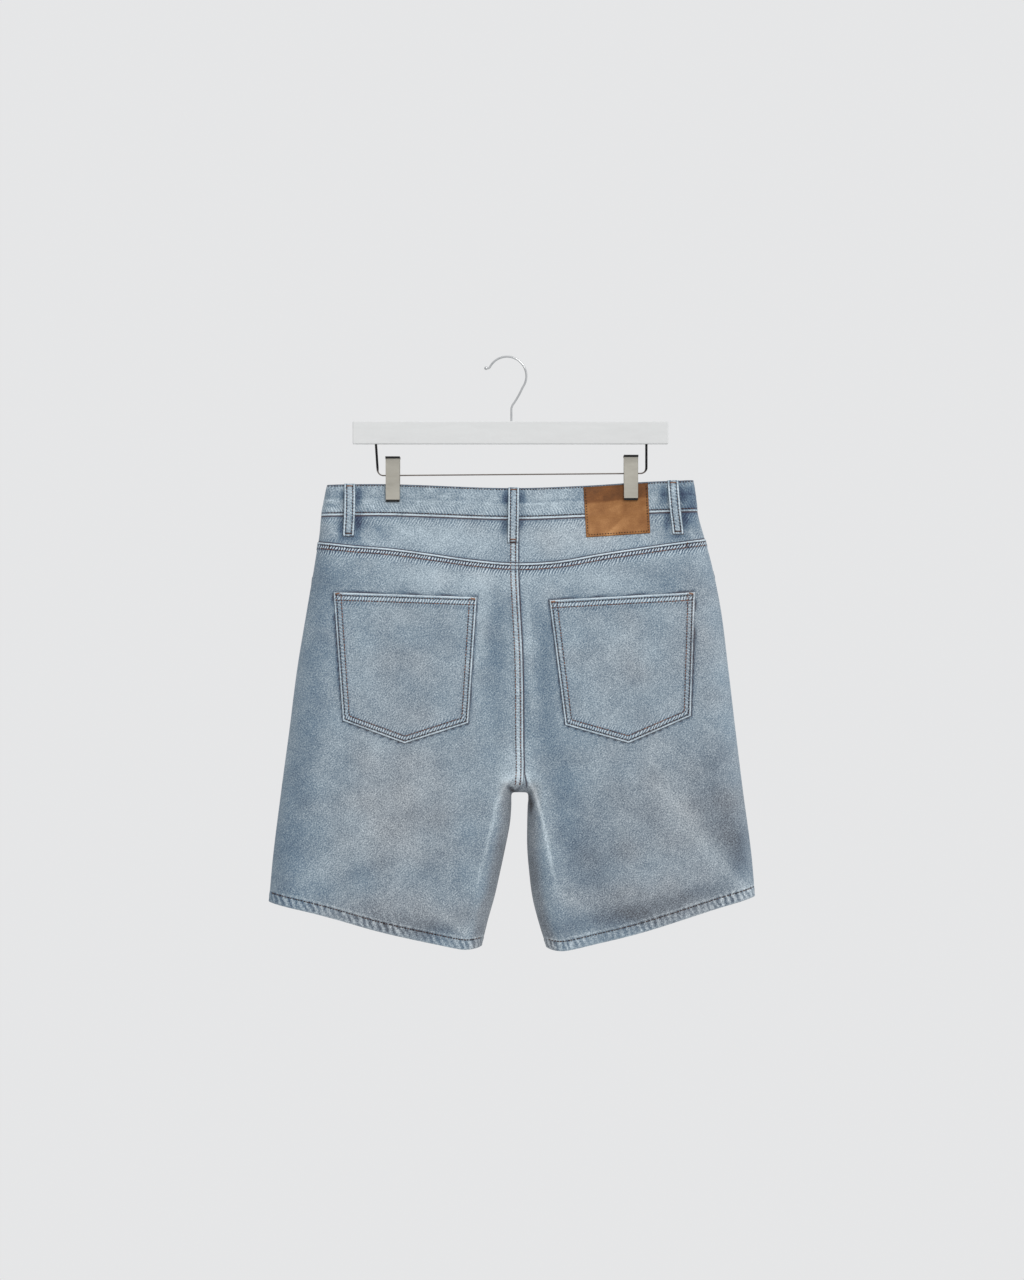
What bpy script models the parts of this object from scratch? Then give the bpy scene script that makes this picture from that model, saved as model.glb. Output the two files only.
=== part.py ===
"""Denim shorts hanging flat from a clip hanger.

Z points up, X towards the wearer's right, and the back of the shorts faces -Y. The origin
lies under the crown of the hook, where a rail carries it. Sizes are in millimetres and
become metres where a mesh is made.

The cloth follows one nominal surface. Seen from behind it fills the outline of the shorts,
and its depth falls to nothing round the folds at the sides and between the legs. Each cut
piece is a thin wall on its own patch of that surface.
"""

from bisect import bisect_right
from collections import namedtuple
from math import acos
from math import asin
from math import cos
from math import exp
from math import pi
from math import sin
from math import sqrt

import bmesh
import bpy
from mathutils import Vector

METRE = 0.001

BACK = -1
FRONT = 1
LEFT = -1
RIGHT = 1

# ---------------------------------------------------------------- driving sizes: cloth

SEAM_GAP = 0.3  # between neighbouring pieces
BEHIND_GAP = 0.8  # between a panel and the layer behind it
CLOTH = 1.2
BAND_CLOTH = 2.4  # the waistband is two layers
BAND_PROUD = 0.6  # how far the waistband stands out from the panels
HEM_CLOTH = 3.0  # the hem is turned up twice
HEM_HEIGHT = 12.0
HEM_STEP = 0.6  # height of the step from one layer to the hem's three
LOOP_CLOTH = 2.0
LEATHER = 1.2
POCKET_GAP = 0.5
POCKET_CLOTH = 1.3

BAND_HEIGHT = 36.5
LAP_HALF = 21.0  # half the overlap of the waistband at the centre front
LAP_RAMP = (36.0, 23.0)  # where the lower end of the waistband dives under the lap
FRONT_WAIST_DIP = 6.0
FRONT_HEM_RISE = 5.0
HEM_CORNER_RISE = 12.0  # the hem climbs this much towards the fold between the legs

ARCH_Z = -532.0  # where the square-shouldered top of the gap between the legs starts
ARCH_POWER = 3.0  # 2 would be a half circle
CENTRE_X = 5.0
WAIST_HALF = 215.0

SCOOP_WIDTH = 88.0  # mouth of the front pockets, along the waist seam
SCOOP_DROP = 72.0  # and down the side seam
FACING_LAP = 16.0  # the facing runs this far behind the scoop
FLY_HALF = 22.0
FLY_LENGTH = 150.0

# Seen from behind: both sides of the outline, the half depths, the width of the side folds.
Section = namedtuple("Section", "z left right back front side_fold")
SECTIONS = (
    Section(-145, -214.5, 222.5, 6.5, 6.5, 8.0),
    Section(-172, -218.5, 226.5, 11.0, 10.5, 11.0),
    Section(-190, -221.0, 228.5, 12.5, 12.0, 14.0),
    Section(-215, -223.6, 235.6, 15.5, 14.5, 20.0),
    Section(-250, -230.2, 245.0, 20.5, 18.5, 28.0),
    Section(-300, -239.0, 255.4, 25.0, 22.5, 35.0),
    Section(-375, -251.4, 265.0, 28.0, 25.0, 38.0),
    Section(-450, -261.0, 273.8, 28.5, 26.0, 38.0),
    Section(-520, -270.4, 282.4, 27.5, 26.0, 36.0),
    Section(-600, -281.0, 292.8, 27.5, 27.0, 34.0),
    Section(-650, -286.6, 296.0, 28.5, 28.0, 32.0),
    Section(-715, -295.0, 302.0, 30.0, 29.5, 32.0),
)

# The gap between the legs and the width of the folds beside it.
Gap = namedtuple("Gap", "z middle half_width fold")
GAPS = (
    Gap(-532, 15.4, 10.2, 20.0),
    Gap(-560, 14.0, 10.8, 21.0),
    Gap(-590, 11.2, 13.6, 23.0),
    Gap(-620, 9.2, 18.0, 26.0),
    Gap(-650, 7.7, 23.3, 28.0),
    Gap(-676, 7.2, 30.2, 28.0),
    Gap(-715, 8.5, 41.0, 28.0),
)

CentreLine = namedtuple("CentreLine", "z x")
CENTRE_SEAM = (
    CentreLine(-150, 6.5),
    CentreLine(-232, 7.6),
    CentreLine(-280, 8.6),
    CentreLine(-466, 13.7),
    CentreLine(-521.8, 15.4),
)

Edge = namedtuple("Edge", "x z")
WAIST_EDGE = (
    Edge(-225, -154.4),
    Edge(-150, -153.4),
    Edge(6, -158.4),
    Edge(92, -155.6),
    Edge(170, -150.6),
    Edge(230, -148.6),
)
YOKE_SEAM = (
    Edge(-240, -220.8),
    Edge(-185, -227.9),
    Edge(-139, -232.2),
    Edge(-88, -239.8),
    Edge(-38, -247.6),
    Edge(8, -251.2),
    Edge(61, -247.9),
    Edge(115, -238.8),
    Edge(170, -229.9),
    Edge(250, -217.0),
)
HEM = (
    Edge(-290, -653.5),
    Edge(-243, -664.3),
    Edge(-205, -673.9),
    Edge(-154, -688.3),
    Edge(-88, -702.9),
    Edge(-50, -709.6),
    Edge(-29, -711.0),
    Edge(45, -715.0),
    Edge(62, -713.2),
    Edge(110, -702.7),
    Edge(162, -689.5),
    Edge(212, -673.9),
    Edge(257, -659.5),
    Edge(302, -646.6),
)

# Soft ridges (rise over 0) and troughs, each along a line from its top to its foot.
Fold = namedtuple("Fold", "side x_top z_top x_foot z_foot half_width rise")
FOLDS = (
    # inner thighs, behind
    Fold(BACK, 2, -480, -10, -520, 13, 1.4),
    Fold(BACK, -15, -541, -38, -660, 13, 2.4),
    Fold(BACK, 26, -500, 38, -556, 13, 1.8),
    Fold(BACK, 44, -577, 60, -665, 13, 2.4),
    # seat, either side of the centre seam
    Fold(BACK, -18, -300, -14, -450, 20, -1.8),
    Fold(BACK, 37, -330, 35, -450, 20, -1.8),
    # drag below the clips, behind
    Fold(BACK, -118, -200, -100, -262, 26, 1.6),
    Fold(BACK, -160, -200, -185, -262, 26, 1.5),
    Fold(BACK, 132, -200, 112, -262, 26, 1.6),
    Fold(BACK, 168, -196, 192, -258, 26, 1.5),
    # thighs and the waves of the hem, behind
    Fold(BACK, -146, -500, -150, -640, 62, 3.0),
    Fold(BACK, 172, -500, 166, -640, 62, 3.0),
    Fold(BACK, -222, -600, -232, -680, 30, -2.4),
    Fold(BACK, -92, -640, -88, -720, 27, -2.2),
    Fold(BACK, 112, -640, 108, -720, 27, -2.0),
    Fold(BACK, 238, -590, 246, -670, 30, -2.2),
    # inner thighs, before
    Fold(FRONT, 2, -480, -34, -655, 14, 2.2),
    Fold(FRONT, 28, -490, 58, -660, 14, 2.2),
    # creases that fan out below the fly
    Fold(FRONT, -20, -400, -120, -372, 20, 1.6),
    Fold(FRONT, -18, -440, -110, -442, 20, 1.4),
    Fold(FRONT, 36, -402, 138, -370, 20, 1.6),
    Fold(FRONT, 38, -442, 130, -446, 20, 1.4),
    # drag below the clips, before
    Fold(FRONT, -116, -200, -96, -290, 26, 1.5),
    Fold(FRONT, 130, -200, 110, -290, 26, 1.5),
    # thighs and the waves of the hem, before
    Fold(FRONT, -150, -500, -150, -640, 60, 2.6),
    Fold(FRONT, 168, -500, 166, -640, 60, 2.6),
    Fold(FRONT, -214, -600, -226, -680, 30, -2.2),
    Fold(FRONT, -98, -620, -92, -715, 28, -2.2),
    Fold(FRONT, 118, -620, 112, -715, 28, -2.2),
    Fold(FRONT, 228, -600, 240, -670, 30, -2.2),
)

# Corners of the two back pockets: top, lower corners and tip.
Pocket = namedtuple("Pocket", "name top_in top_out foot_in foot_out tip")
POCKETS = (
    Pocket(
        "back_pocket_left",
        top_in=Edge(-36.0, -288.7),
        top_out=Edge(-208.2, -282.7),
        foot_in=Edge(-46.1, -439.9),
        foot_out=Edge(-196.8, -437.2),
        tip=Edge(-122.4, -464.4),
    ),
    Pocket(
        "back_pocket_right",
        top_in=Edge(50.4, -292.3),
        top_out=Edge(225.6, -282.7),
        foot_in=Edge(69.6, -442.3),
        foot_out=Edge(220.4, -431.5),
        tip=Edge(145.8, -463.9),
    ),
)

# Belt loops: middle at the top and at the foot, and how far they stand off in between.
LOOP_WIDTH = 13.2
LOOP_GAP = 0.5
LOOP_STAND_OFF = 2.5
LOOP_TACK = 7.0  # length of the sewn ends
LOOP_OVER_TOP = 0.4  # it starts this far above the waistband's edge
LOOP_LANDING = (2.0, 9.0)  # below the waist seam it comes down on to the panel
Loop = namedtuple("Loop", "name side x_top x_foot z_foot")
LOOPS = (
    Loop("belt_loop_back_left", BACK, -189.6, -190.7, -216.1),
    Loop("belt_loop_back_centre", BACK, 7.4, 7.5, -223.9),
    Loop("belt_loop_back_right", BACK, 198.7, 204.3, -214.8),
    Loop("belt_loop_front_left", FRONT, -107.0, -108.5, -219.0),
    Loop("belt_loop_front_right", FRONT, 119.0, 120.5, -217.5),
)

PATCH_GAP = 0.4
PATCH = (
    Edge(91.6, -156.5),  # upper inner corner
    Edge(169.8, -150.9),  # upper outer
    Edge(172.4, -211.9),  # lower outer
    Edge(95.2, -217.0),  # lower inner
)

# Half of the button's outline, from its neck to its dished top.
Ring = namedtuple("Ring", "radius height")
BUTTON = (
    Ring(3.4, 0.0),
    Ring(3.4, 1.4),
    Ring(7.6, 1.5),
    Ring(8.5, 2.3),
    Ring(8.0, 3.8),
    Ring(7.1, 4.2),
    Ring(5.9, 3.3),
)

# ---------------------------------------------------------------- driving sizes: hanger

BAR_LEFT = -186.0
BAR_RIGHT = 194.4
BAR_TOP = -76.8
BAR_BOTTOM = -104.3
BAR_DEPTH = 12.0
BAR_ROUNDING = 1.2
BORE_DEPTH = 10.0
BORE_OVERCUT = 3.0

HOOK_WIRE = 2.6
HOOK_RADIUS = 23.3
HOOK_START = -0.62  # angles of the hook's arc, from +X
HOOK_END = 2.62
HOOK_BALL = 2.2
HOOK_KNEE = -59.0  # height at which the stem leans over towards the arc
NECK_BOW = 0.9
STEM_X = 5.3

FRAME_WIRE = 2.2
FRAME_LEFT = -157.0
FRAME_RIGHT = 168.0
FRAME_FOOT_LEFT = -142.3
FRAME_FOOT_RIGHT = -140.3
FRAME_BEND = 7.0

CLIP_WIDTH = 17.0
CLIP_HEIGHT = 53.4
CLIP_SHEET = 1.2
CLIP_DEPTH = 2.4  # half depth of the cloth's nominal surface between the jaws
CLIP_FLAT = 13.0  # half width of the flat that the jaws press
CLIP_REACH = 85.0  # the pinch fades out this far to each side
CLIP_DRAG = 75.0  # and this far below the jaws
JAW_HEIGHT = 9.0
JAW_LINING = 1.2
ARM_HALF = 3.0  # half the straight height of a plate beside the barrel
BARREL_RADIUS = 6.5
BARREL_LENGTH = 13.0
BARREL_SIDES = 16
Clip = namedtuple("Clip", "name x z_top")
CLIPS = (
    Clip("clip_left", -137.6, -119.5),
    Clip("clip_right", 149.3, -117.6),
)
JAW_FOOT = -176.0

# ---------------------------------------------------------------- sampling of the cloth

FOLD_ANGLES = (0.0, pi / 8, pi / 4, 3 * pi / 8, pi / 2)
UNDERSIDE_ANGLES = (pi / 2, 1.08, 0.64)
FOLD_SHOULDER = (11.0, 25.0)  # further samples beside the folds between the legs
SIDE_LEAD = 6.0  # the row at the top of the gap meets the side this much higher
SIDE_LAG = 4.0  # and the row at the gap's centre this much lower
MIDDLE_CELLS = 6
BODY_CELLS = 9
LEG_CELLS = 6
ARCH_CELLS = 3
SCOOP_CELLS = 5
FACING_CELLS = (8, 5)  # down, and across beyond the fold
FLY_CELLS = (8, 4)
YOKE_CELLS = 4
BAND_CELLS = 4
BAND_STEP_BACK = 11.0
BAND_STEP_FRONT = 16.0
BAND_NEAR = 4.0  # no sample lies closer than this to the ends of the lap
LAP_CELLS = 3
POCKET_CELLS = (7, 8)
LOOP_CELLS = (12, 2)
PATCH_CELLS = (6, 8)
BUTTON_SIDES = 24
BORE_SIDES = 16
BEND_CELLS = 5
ARC_CELLS = 21
NECK_CELLS = 8
BALL_CELLS = 5


# ---------------------------------------------------------------- smooth tables


def smooth(table, key, column):
    """A smooth function through one column of a table, linear beyond its ends."""
    rows = sorted(table, key=lambda row: getattr(row, key))
    at = [float(getattr(row, key)) for row in rows]
    value = [float(getattr(row, column)) for row in rows]
    rise = [(value[i + 1] - value[i]) / (at[i + 1] - at[i]) for i in range(len(at) - 1)]
    slope = [rise[0]]
    slope += [(rise[i] + rise[i + 1]) / 2 for i in range(len(rise) - 1)]
    slope += [rise[-1]]

    def read(where):
        if where <= at[0]:
            return value[0] + slope[0] * (where - at[0])
        if where >= at[-1]:
            return value[-1] + slope[-1] * (where - at[-1])
        i = bisect_right(at, where) - 1
        span = at[i + 1] - at[i]
        t = (where - at[i]) / span
        start = value[i] * (1 + 2 * t) * (1 - t) ** 2 + slope[i] * span * t * (1 - t) ** 2
        end = value[i + 1] * t * t * (3 - 2 * t) + slope[i + 1] * span * t * t * (t - 1)
        return start + end

    return read


left_edge = smooth(SECTIONS, "z", "left")
right_edge = smooth(SECTIONS, "z", "right")
back_depth = smooth(SECTIONS, "z", "back")
front_depth = smooth(SECTIONS, "z", "front")
side_fold = smooth(SECTIONS, "z", "side_fold")
gap_middle = smooth(GAPS, "z", "middle")
gap_half = smooth(GAPS, "z", "half_width")
gap_fold = smooth(GAPS, "z", "fold")
centre_x = smooth(CENTRE_SEAM, "z", "x")
waist_edge = smooth(WAIST_EDGE, "x", "z")
yoke_seam = smooth(YOKE_SEAM, "x", "z")
hem_line = smooth(HEM, "x", "z")


def ramp(start, end, where):
    """0 before start, 1 after end, smooth between them."""
    t = min(1.0, max(0.0, (where - start) / (end - start)))
    return t * t * (3 - 2 * t)


def mix(a, b, t):
    return a + (b - a) * t


def side_x(half, z):
    return left_edge(z) if half == LEFT else right_edge(z)


def waist_top(side, x):
    """Top edge of the waistband. The front dips a little at its centre."""
    away = (x - CENTRE_X) / WAIST_HALF
    dip = FRONT_WAIST_DIP * max(0.0, 1 - away * away) ** 2 if side == FRONT else 0.0
    return waist_edge(x) - dip


def band_seam(side, x):
    return waist_top(side, x) - BAND_HEIGHT


# ---------------------------------------------------------------- the nominal surface


def distance_to_side(x, z):
    return min(x - left_edge(z), right_edge(z) - x)


def distance_to_gap(x, z):
    """From the edge of the gap between the legs. Round its top this is only near enough."""
    top = GAPS[0]
    if z >= ARCH_Z:
        power = abs(x - top.middle) ** ARCH_POWER + (z - ARCH_Z) ** ARCH_POWER
        return power ** (1 / ARCH_POWER) - top.half_width
    return abs(x - gap_middle(z)) - gap_half(z)


def inner_fold(z):
    return gap_fold(min(z, ARCH_Z))


def turned_away(x, z):
    """How far the cloth has turned away, 1 at the crown of a fold: at the side, at the gap."""
    at_side = max(0.0, 1 - distance_to_side(x, z) / side_fold(z))
    at_gap = max(0.0, 1 - distance_to_gap(x, z) / inner_fold(z))
    return at_side, at_gap


def crease(fold, x, z):
    """One fold's rise at a point: a bell across its line, fading past both ends."""
    run_x = fold.x_foot - fold.x_top
    run_z = fold.z_foot - fold.z_top
    along = ((x - fold.x_top) * run_x + (z - fold.z_top) * run_z) / (run_x**2 + run_z**2)
    along = min(1.0, max(0.0, along))
    off_x = x - fold.x_top - along * run_x
    off_z = z - fold.z_top - along * run_z
    return fold.rise * exp(-(off_x**2 + off_z**2) / fold.half_width**2)


def pinch(x, z):
    """1 between the jaws of a clip, fading to 0 around it."""
    most = 0.0
    for clip in CLIPS:
        across = 1 - ramp(CLIP_FLAT, CLIP_REACH, abs(x - clip.x))
        down = 1 - ramp(0, CLIP_DRAG, JAW_FOOT - z)
        most = max(most, across * down)
    return most


def depth(side, x, z):
    """Half depth of the shorts on one side, before the folds at the edges."""
    base = back_depth(z) if side == BACK else front_depth(z)
    base += sum(crease(fold, x, z) for fold in FOLDS if fold.side == side)
    return mix(base, CLIP_DEPTH, pinch(x, z))


def level(side, x, y, z):
    """Zero on the nominal surface, negative inside it."""
    at_side, at_gap = turned_away(x, z)
    return (y / depth(side, x, z)) ** 2 + at_side**2 + at_gap**2 - 1


def surface(side, x, z):
    at_side, at_gap = turned_away(x, z)
    rest = max(0.0, 1 - at_side**2 - at_gap**2)
    return Vector((x, side * depth(side, x, z) * sqrt(rest), z))


def normal(side, point):
    """The direction out of the nominal surface."""
    x, y, z = point
    h = 0.01  # half the step of the differences
    slope = Vector(
        (
            level(side, x + h, y, z) - level(side, x - h, y, z),
            level(side, x, y + h, z) - level(side, x, y - h, z),
            level(side, x, y, z + h) - level(side, x, y, z - h),
        )
    )
    return slope.normalized()


def seat(side, x, z, on_crown=False):
    """A point of the nominal surface and its normal. On a fold's crown it keeps half a gap."""
    point = surface(side, x, z)
    if on_crown:
        point.y = side * SEAM_GAP / 2
    return point, normal(side, point)


# ---------------------------------------------------------------- meshes

MATERIALS = {
    # base colour, roughness, metallic
    "denim": ((0.36, 0.45, 0.55), 0.92, 0.0),
    "leather": ((0.42, 0.24, 0.10), 0.60, 0.0),
    "white_paint": ((0.85, 0.85, 0.84), 0.45, 0.0),
    "chrome": ((0.70, 0.70, 0.70), 0.15, 1.0),
    "dark_steel": ((0.20, 0.20, 0.20), 0.35, 1.0),
    "grey_steel": ((0.58, 0.56, 0.53), 0.32, 1.0),
}


def material(name):
    found = bpy.data.materials.get(name)
    if found:
        return found
    colour, roughness, metallic = MATERIALS[name]
    made = bpy.data.materials.new(name)
    made.use_nodes = True
    shader = made.node_tree.nodes["Principled BSDF"]
    shader.inputs["Base Color"].default_value = (*colour, 1.0)
    shader.inputs["Roughness"].default_value = roughness
    shader.inputs["Metallic"].default_value = metallic
    made.diffuse_color = (*colour, 1.0)
    return made


def add_object(name, points, faces, finish, smooth_angle=0.6):
    """A closed mesh as one named object. Points are in millimetres."""
    mesh = bpy.data.meshes.new(name)
    mesh.from_pydata([Vector(p) * METRE for p in points], [], faces)
    shape = bmesh.new()
    shape.from_mesh(mesh)
    bmesh.ops.recalc_face_normals(shape, faces=shape.faces)
    shape.to_mesh(mesh)
    shape.free()
    mesh.shade_smooth()
    mesh.set_sharp_from_angle(angle=smooth_angle)
    mesh.materials.append(material(finish))
    made = bpy.data.objects.new(name, mesh)
    bpy.context.scene.collection.objects.link(made)
    return made


def wall(name, outer, inner, finish):
    """A closed wall between two grids of points with the same rows and columns."""
    rows = len(outer)
    columns = len(outer[0])
    points = [p for row in outer for p in row]
    points += [p for row in inner for p in row]
    back = rows * columns

    def cells(start):
        for i in range(rows - 1):
            for j in range(columns - 1):
                a = start + i * columns + j
                yield a, a + 1, a + columns + 1, a + columns

    faces = []
    for a, b, c, d in cells(0):
        faces += [(a, b, c), (a, c, d)]
    for a, b, c, d in cells(back):
        faces += [(a, c, b), (a, d, c)]
    rim = [j for j in range(columns)]
    rim += [i * columns + columns - 1 for i in range(1, rows)]
    rim += [(rows - 1) * columns + j for j in range(columns - 2, -1, -1)]
    rim += [i * columns for i in range(rows - 2, 0, -1)]
    for a, b in zip(rim, rim[1:] + rim[:1]):
        faces += [(a, b, back + b), (a, back + b, back + a)]
    return add_object(name, points, faces, finish)


def layer(name, seats, gap, thickness, finish):
    """A wall that lies outside (gap of 0 or more) or inside (less than 0) of its seats.

    gap and thickness are numbers or functions of the row and the column.
    """

    def read(value, i, j):
        return value(i, j) if callable(value) else value

    near = []
    far = []
    for i, row in enumerate(seats):
        near.append([p + n * read(gap, i, j) for j, (p, n) in enumerate(row)])
        reach = [read(gap, i, j) + read(thickness, i, j) for j in range(len(row))]
        far.append([p + n * reach[j] for j, (p, n) in enumerate(row)])
    return wall(name, far, near, finish)


def tube(name, path, radius, finish, sides=8, swell=None):
    """A round wire along a path in the XZ plane. swell maps a path index to its own radius."""
    points = []
    for i, here in enumerate(path):
        before = path[max(0, i - 1)]
        after = path[min(len(path) - 1, i + 1)]
        along = (Vector(after) - Vector(before)).normalized()
        across = Vector((0, 1, 0))
        third = along.cross(across)
        r = swell[i] if swell else radius
        for k in range(sides):
            turn = 2 * pi * k / sides
            points.append(Vector(here) + (across * cos(turn) + third * sin(turn)) * r)
    faces = [tuple(range(sides - 1, -1, -1))]
    for i in range(len(path) - 1):
        for k in range(sides):
            a = i * sides + k
            b = i * sides + (k + 1) % sides
            faces.append((a, b, b + sides, a + sides))
    last = (len(path) - 1) * sides
    faces.append(tuple(range(last, last + sides)))
    return add_object(name, points, faces, finish)


# ---------------------------------------------------------------- rows across a panel

Row = namedtuple("Row", "inner outer top_bend hem_bend on_gap on_side thickness")


def spread(length, first_fold, last_fold):
    """Distances along a row, dense in the folds at both of its ends."""
    start = [first_fold * (1 - cos(turn)) for turn in FOLD_ANGLES]
    start += [first_fold + beyond for beyond in FOLD_SHOULDER]
    end = [length - last_fold * (1 - cos(turn)) for turn in reversed(FOLD_ANGLES)]
    between = [mix(start[-1], end[0], k / MIDDLE_CELLS) for k in range(1, MIDDLE_CELLS)]
    return start + between + end


def crown_point(half, z):
    """On the fold between the legs, below the arch."""
    return Edge(gap_middle(z) + half * gap_half(z), z)


def arch_point(half, turn):
    """On the top of the gap: turn 0 is its side, pi / 2 its highest point."""
    top = GAPS[0]
    across = top.half_width * cos(turn) ** (2 / ARCH_POWER)
    x = top.middle + half * max(across, SEAM_GAP / 2)
    return Edge(x, ARCH_Z + top.half_width * sin(turn) ** (2 / ARCH_POWER))


def hem_ends(half):
    """Where the hem meets the fold between the legs and the fold at the side."""
    z_in = GAPS[-1].z
    z_out = SECTIONS[-1].z
    for _ in range(8):
        z_in = hem_line(crown_point(half, z_in).x) + HEM_CORNER_RISE
        z_out = hem_line(side_x(half, z_out))
    return crown_point(half, z_in), Edge(side_x(half, z_out), z_out)


def hem_z(side, x, z):
    """Height of the hem's edge at x, near the height z."""
    at_side, at_gap = turned_away(x, z)
    rise = HEM_CORNER_RISE * at_gap**2
    if side == FRONT:
        rise += FRONT_HEM_RISE * (1 - at_side) * (1 - at_gap)
    return hem_line(x) + rise


def body_row(half, z_in, outer, weight, on_side):
    inner = Edge(centre_x(z_in) + half * SEAM_GAP / 2, z_in)
    return Row(inner, outer, weight, 0.0, False, on_side, CLOTH)


def leg_rows(half):
    """From the top of the gap down to the hem."""
    rows = []
    arch_top = arch_point(half, pi / 2)
    hem_in, hem_out = hem_ends(half)
    side_start = arch_top.z + SIDE_LEAD
    side_leg = ARCH_Z - SIDE_LAG
    for k in range(ARCH_CELLS + 1):
        turn = pi / 2 * (1 - k / ARCH_CELLS)
        z_out = mix(side_start, side_leg, k / ARCH_CELLS)
        outer = Edge(side_x(half, z_out), z_out)
        rows.append(Row(arch_point(half, turn), outer, 0.0, 0.0, True, True, CLOTH))
    for k in range(1, LEG_CELLS + 1):
        share = k / LEG_CELLS
        z_in = mix(ARCH_Z, hem_in.z + HEM_HEIGHT + HEM_STEP, share)
        z_out = mix(side_leg, hem_out.z + HEM_HEIGHT + HEM_STEP, share)
        outer = Edge(side_x(half, z_out), z_out)
        rows.append(Row(crown_point(half, z_in), outer, 0.0, share**2, True, True, CLOTH))
    for rise in (HEM_HEIGHT, HEM_HEIGHT / 2, 0.0):
        z_in = hem_in.z + rise
        z_out = hem_out.z + rise
        outer = Edge(side_x(half, z_out), z_out)
        rows.append(Row(crown_point(half, z_in), outer, 0.0, 1.0, True, True, HEM_CLOTH))
    return rows


def seat_rows(side, half, rows):
    """The points of a panel, row by row from the centre or the inseam to the side."""
    hem_in, hem_out = hem_ends(half)
    top = rows[0]
    seats = []
    for row in rows:
        run_x = row.outer.x - row.inner.x
        run_z = row.outer.z - row.inner.z
        length = sqrt(run_x**2 + run_z**2)
        steps = spread(length, inner_fold(row.inner.z), side_fold(row.outer.z))
        line = []
        for k, step in enumerate(steps):
            t = step / length
            x = row.inner.x + run_x * t
            z = row.inner.z + run_z * t
            if row.top_bend:
                top_x = mix(top.inner.x, top.outer.x, t)
                straight = mix(top.inner.z, top.outer.z, t)
                bent = top_edge(side, top_x)
                z += row.top_bend * (bent - straight)
            if row.hem_bend:
                hem_x = mix(hem_in.x, hem_out.x, t)
                straight = mix(hem_in.z, hem_out.z, t)
                z += row.hem_bend * (hem_z(side, hem_x, straight) - straight)
            ends = (k == 0 and row.on_gap) or (k == len(steps) - 1 and row.on_side)
            line.append(seat(side, x, z, ends))
        seats.append(line)
    return seats


def top_edge(side, x):
    """Upper edge of the main panels: the yoke seam behind, the waist seam before."""
    if side == BACK:
        return yoke_seam(x) - SEAM_GAP / 2
    return band_seam(FRONT, x) - SEAM_GAP / 2


def lower_body_rows(half, z_in_start, z_out_start, first_weight):
    """Rows down the centre seam to the top of the gap, closer where it folds under."""
    arch_top = arch_point(half, pi / 2).z
    z_out_end = arch_top + SIDE_LEAD
    fold = inner_fold(ARCH_Z)
    closer = [arch_top + fold * (1 - cos(turn)) for turn in UNDERSIDE_ANGLES]
    steps = [mix(z_in_start, closer[0], k / BODY_CELLS) for k in range(1, BODY_CELLS)]
    rows = []
    for z_in in steps + closer:
        share = (z_in_start - z_in) / (z_in_start - arch_top)
        z_out = mix(z_out_start, z_out_end, share)
        outer = Edge(side_x(half, z_out), z_out)
        rows.append(body_row(half, z_in, outer, first_weight * (1 - share) ** 2, True))
    return rows


# ---------------------------------------------------------------- the cut pieces


def side_name(half):
    return "left" if half == LEFT else "right"


def side_height(half, edge):
    """Height at which a seam line meets the side."""
    z = SECTIONS[0].z
    for _ in range(6):
        z = edge(side_x(half, z))
    return z


def build_back_panel(half):
    z_in = top_edge(BACK, CENTRE_X)
    z_out = side_height(half, lambda x: top_edge(BACK, x))
    rows = [body_row(half, z_in, Edge(side_x(half, z_out), z_out), 1.0, True)]
    rows += lower_body_rows(half, z_in, z_out, 1.0)
    rows += leg_rows(half)
    seats = seat_rows(BACK, half, rows)
    layer(
        "back_panel_" + side_name(half),
        seats,
        lambda i, j: -rows[i].thickness,
        lambda i, j: rows[i].thickness,
        "denim",
    )


def scoop_point(half, turn, grow=0.0):
    """On the pocket mouth: turn 0 is at the waist seam, pi / 2 at the side seam."""
    z_side = side_height(half, lambda x: band_seam(FRONT, x))
    x_side = side_x(half, z_side - SCOOP_DROP)
    x = x_side - half * (SCOOP_WIDTH + grow) * cos(turn)
    start = band_seam(FRONT, x) - SEAM_GAP / 2
    return Edge(x, mix(start, z_side - SCOOP_DROP - grow, sin(turn)))


def scoop_turns(fold):
    """Turns along the pocket mouth, closer where it runs round the side fold."""
    start = acos(fold / SCOOP_WIDTH)
    turns = [start * k / SCOOP_CELLS for k in range(SCOOP_CELLS)]
    return turns + [acos(fold * (1 - cos(a)) / SCOOP_WIDTH) for a in reversed(FOLD_ANGLES)]


def build_front_panel(half):
    z_in = top_edge(FRONT, CENTRE_X)
    z_scoop_end = scoop_point(half, pi / 2).z
    z_in_end = z_in - SCOOP_DROP
    turns = scoop_turns(side_fold(z_scoop_end))
    rows = []
    for k, turn in enumerate(turns):
        share = k / (len(turns) - 1)
        last = k == len(turns) - 1
        outer = scoop_point(half, turn)
        rows.append(body_row(half, mix(z_in, z_in_end, share), outer, (1 - share) ** 2, last))
    rows += lower_body_rows(half, z_in_end, z_scoop_end, 0.0)
    rows += leg_rows(half)
    seats = seat_rows(FRONT, half, rows)
    layer(
        "front_panel_" + side_name(half),
        seats,
        lambda i, j: -rows[i].thickness,
        lambda i, j: rows[i].thickness,
        "denim",
    )


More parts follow.
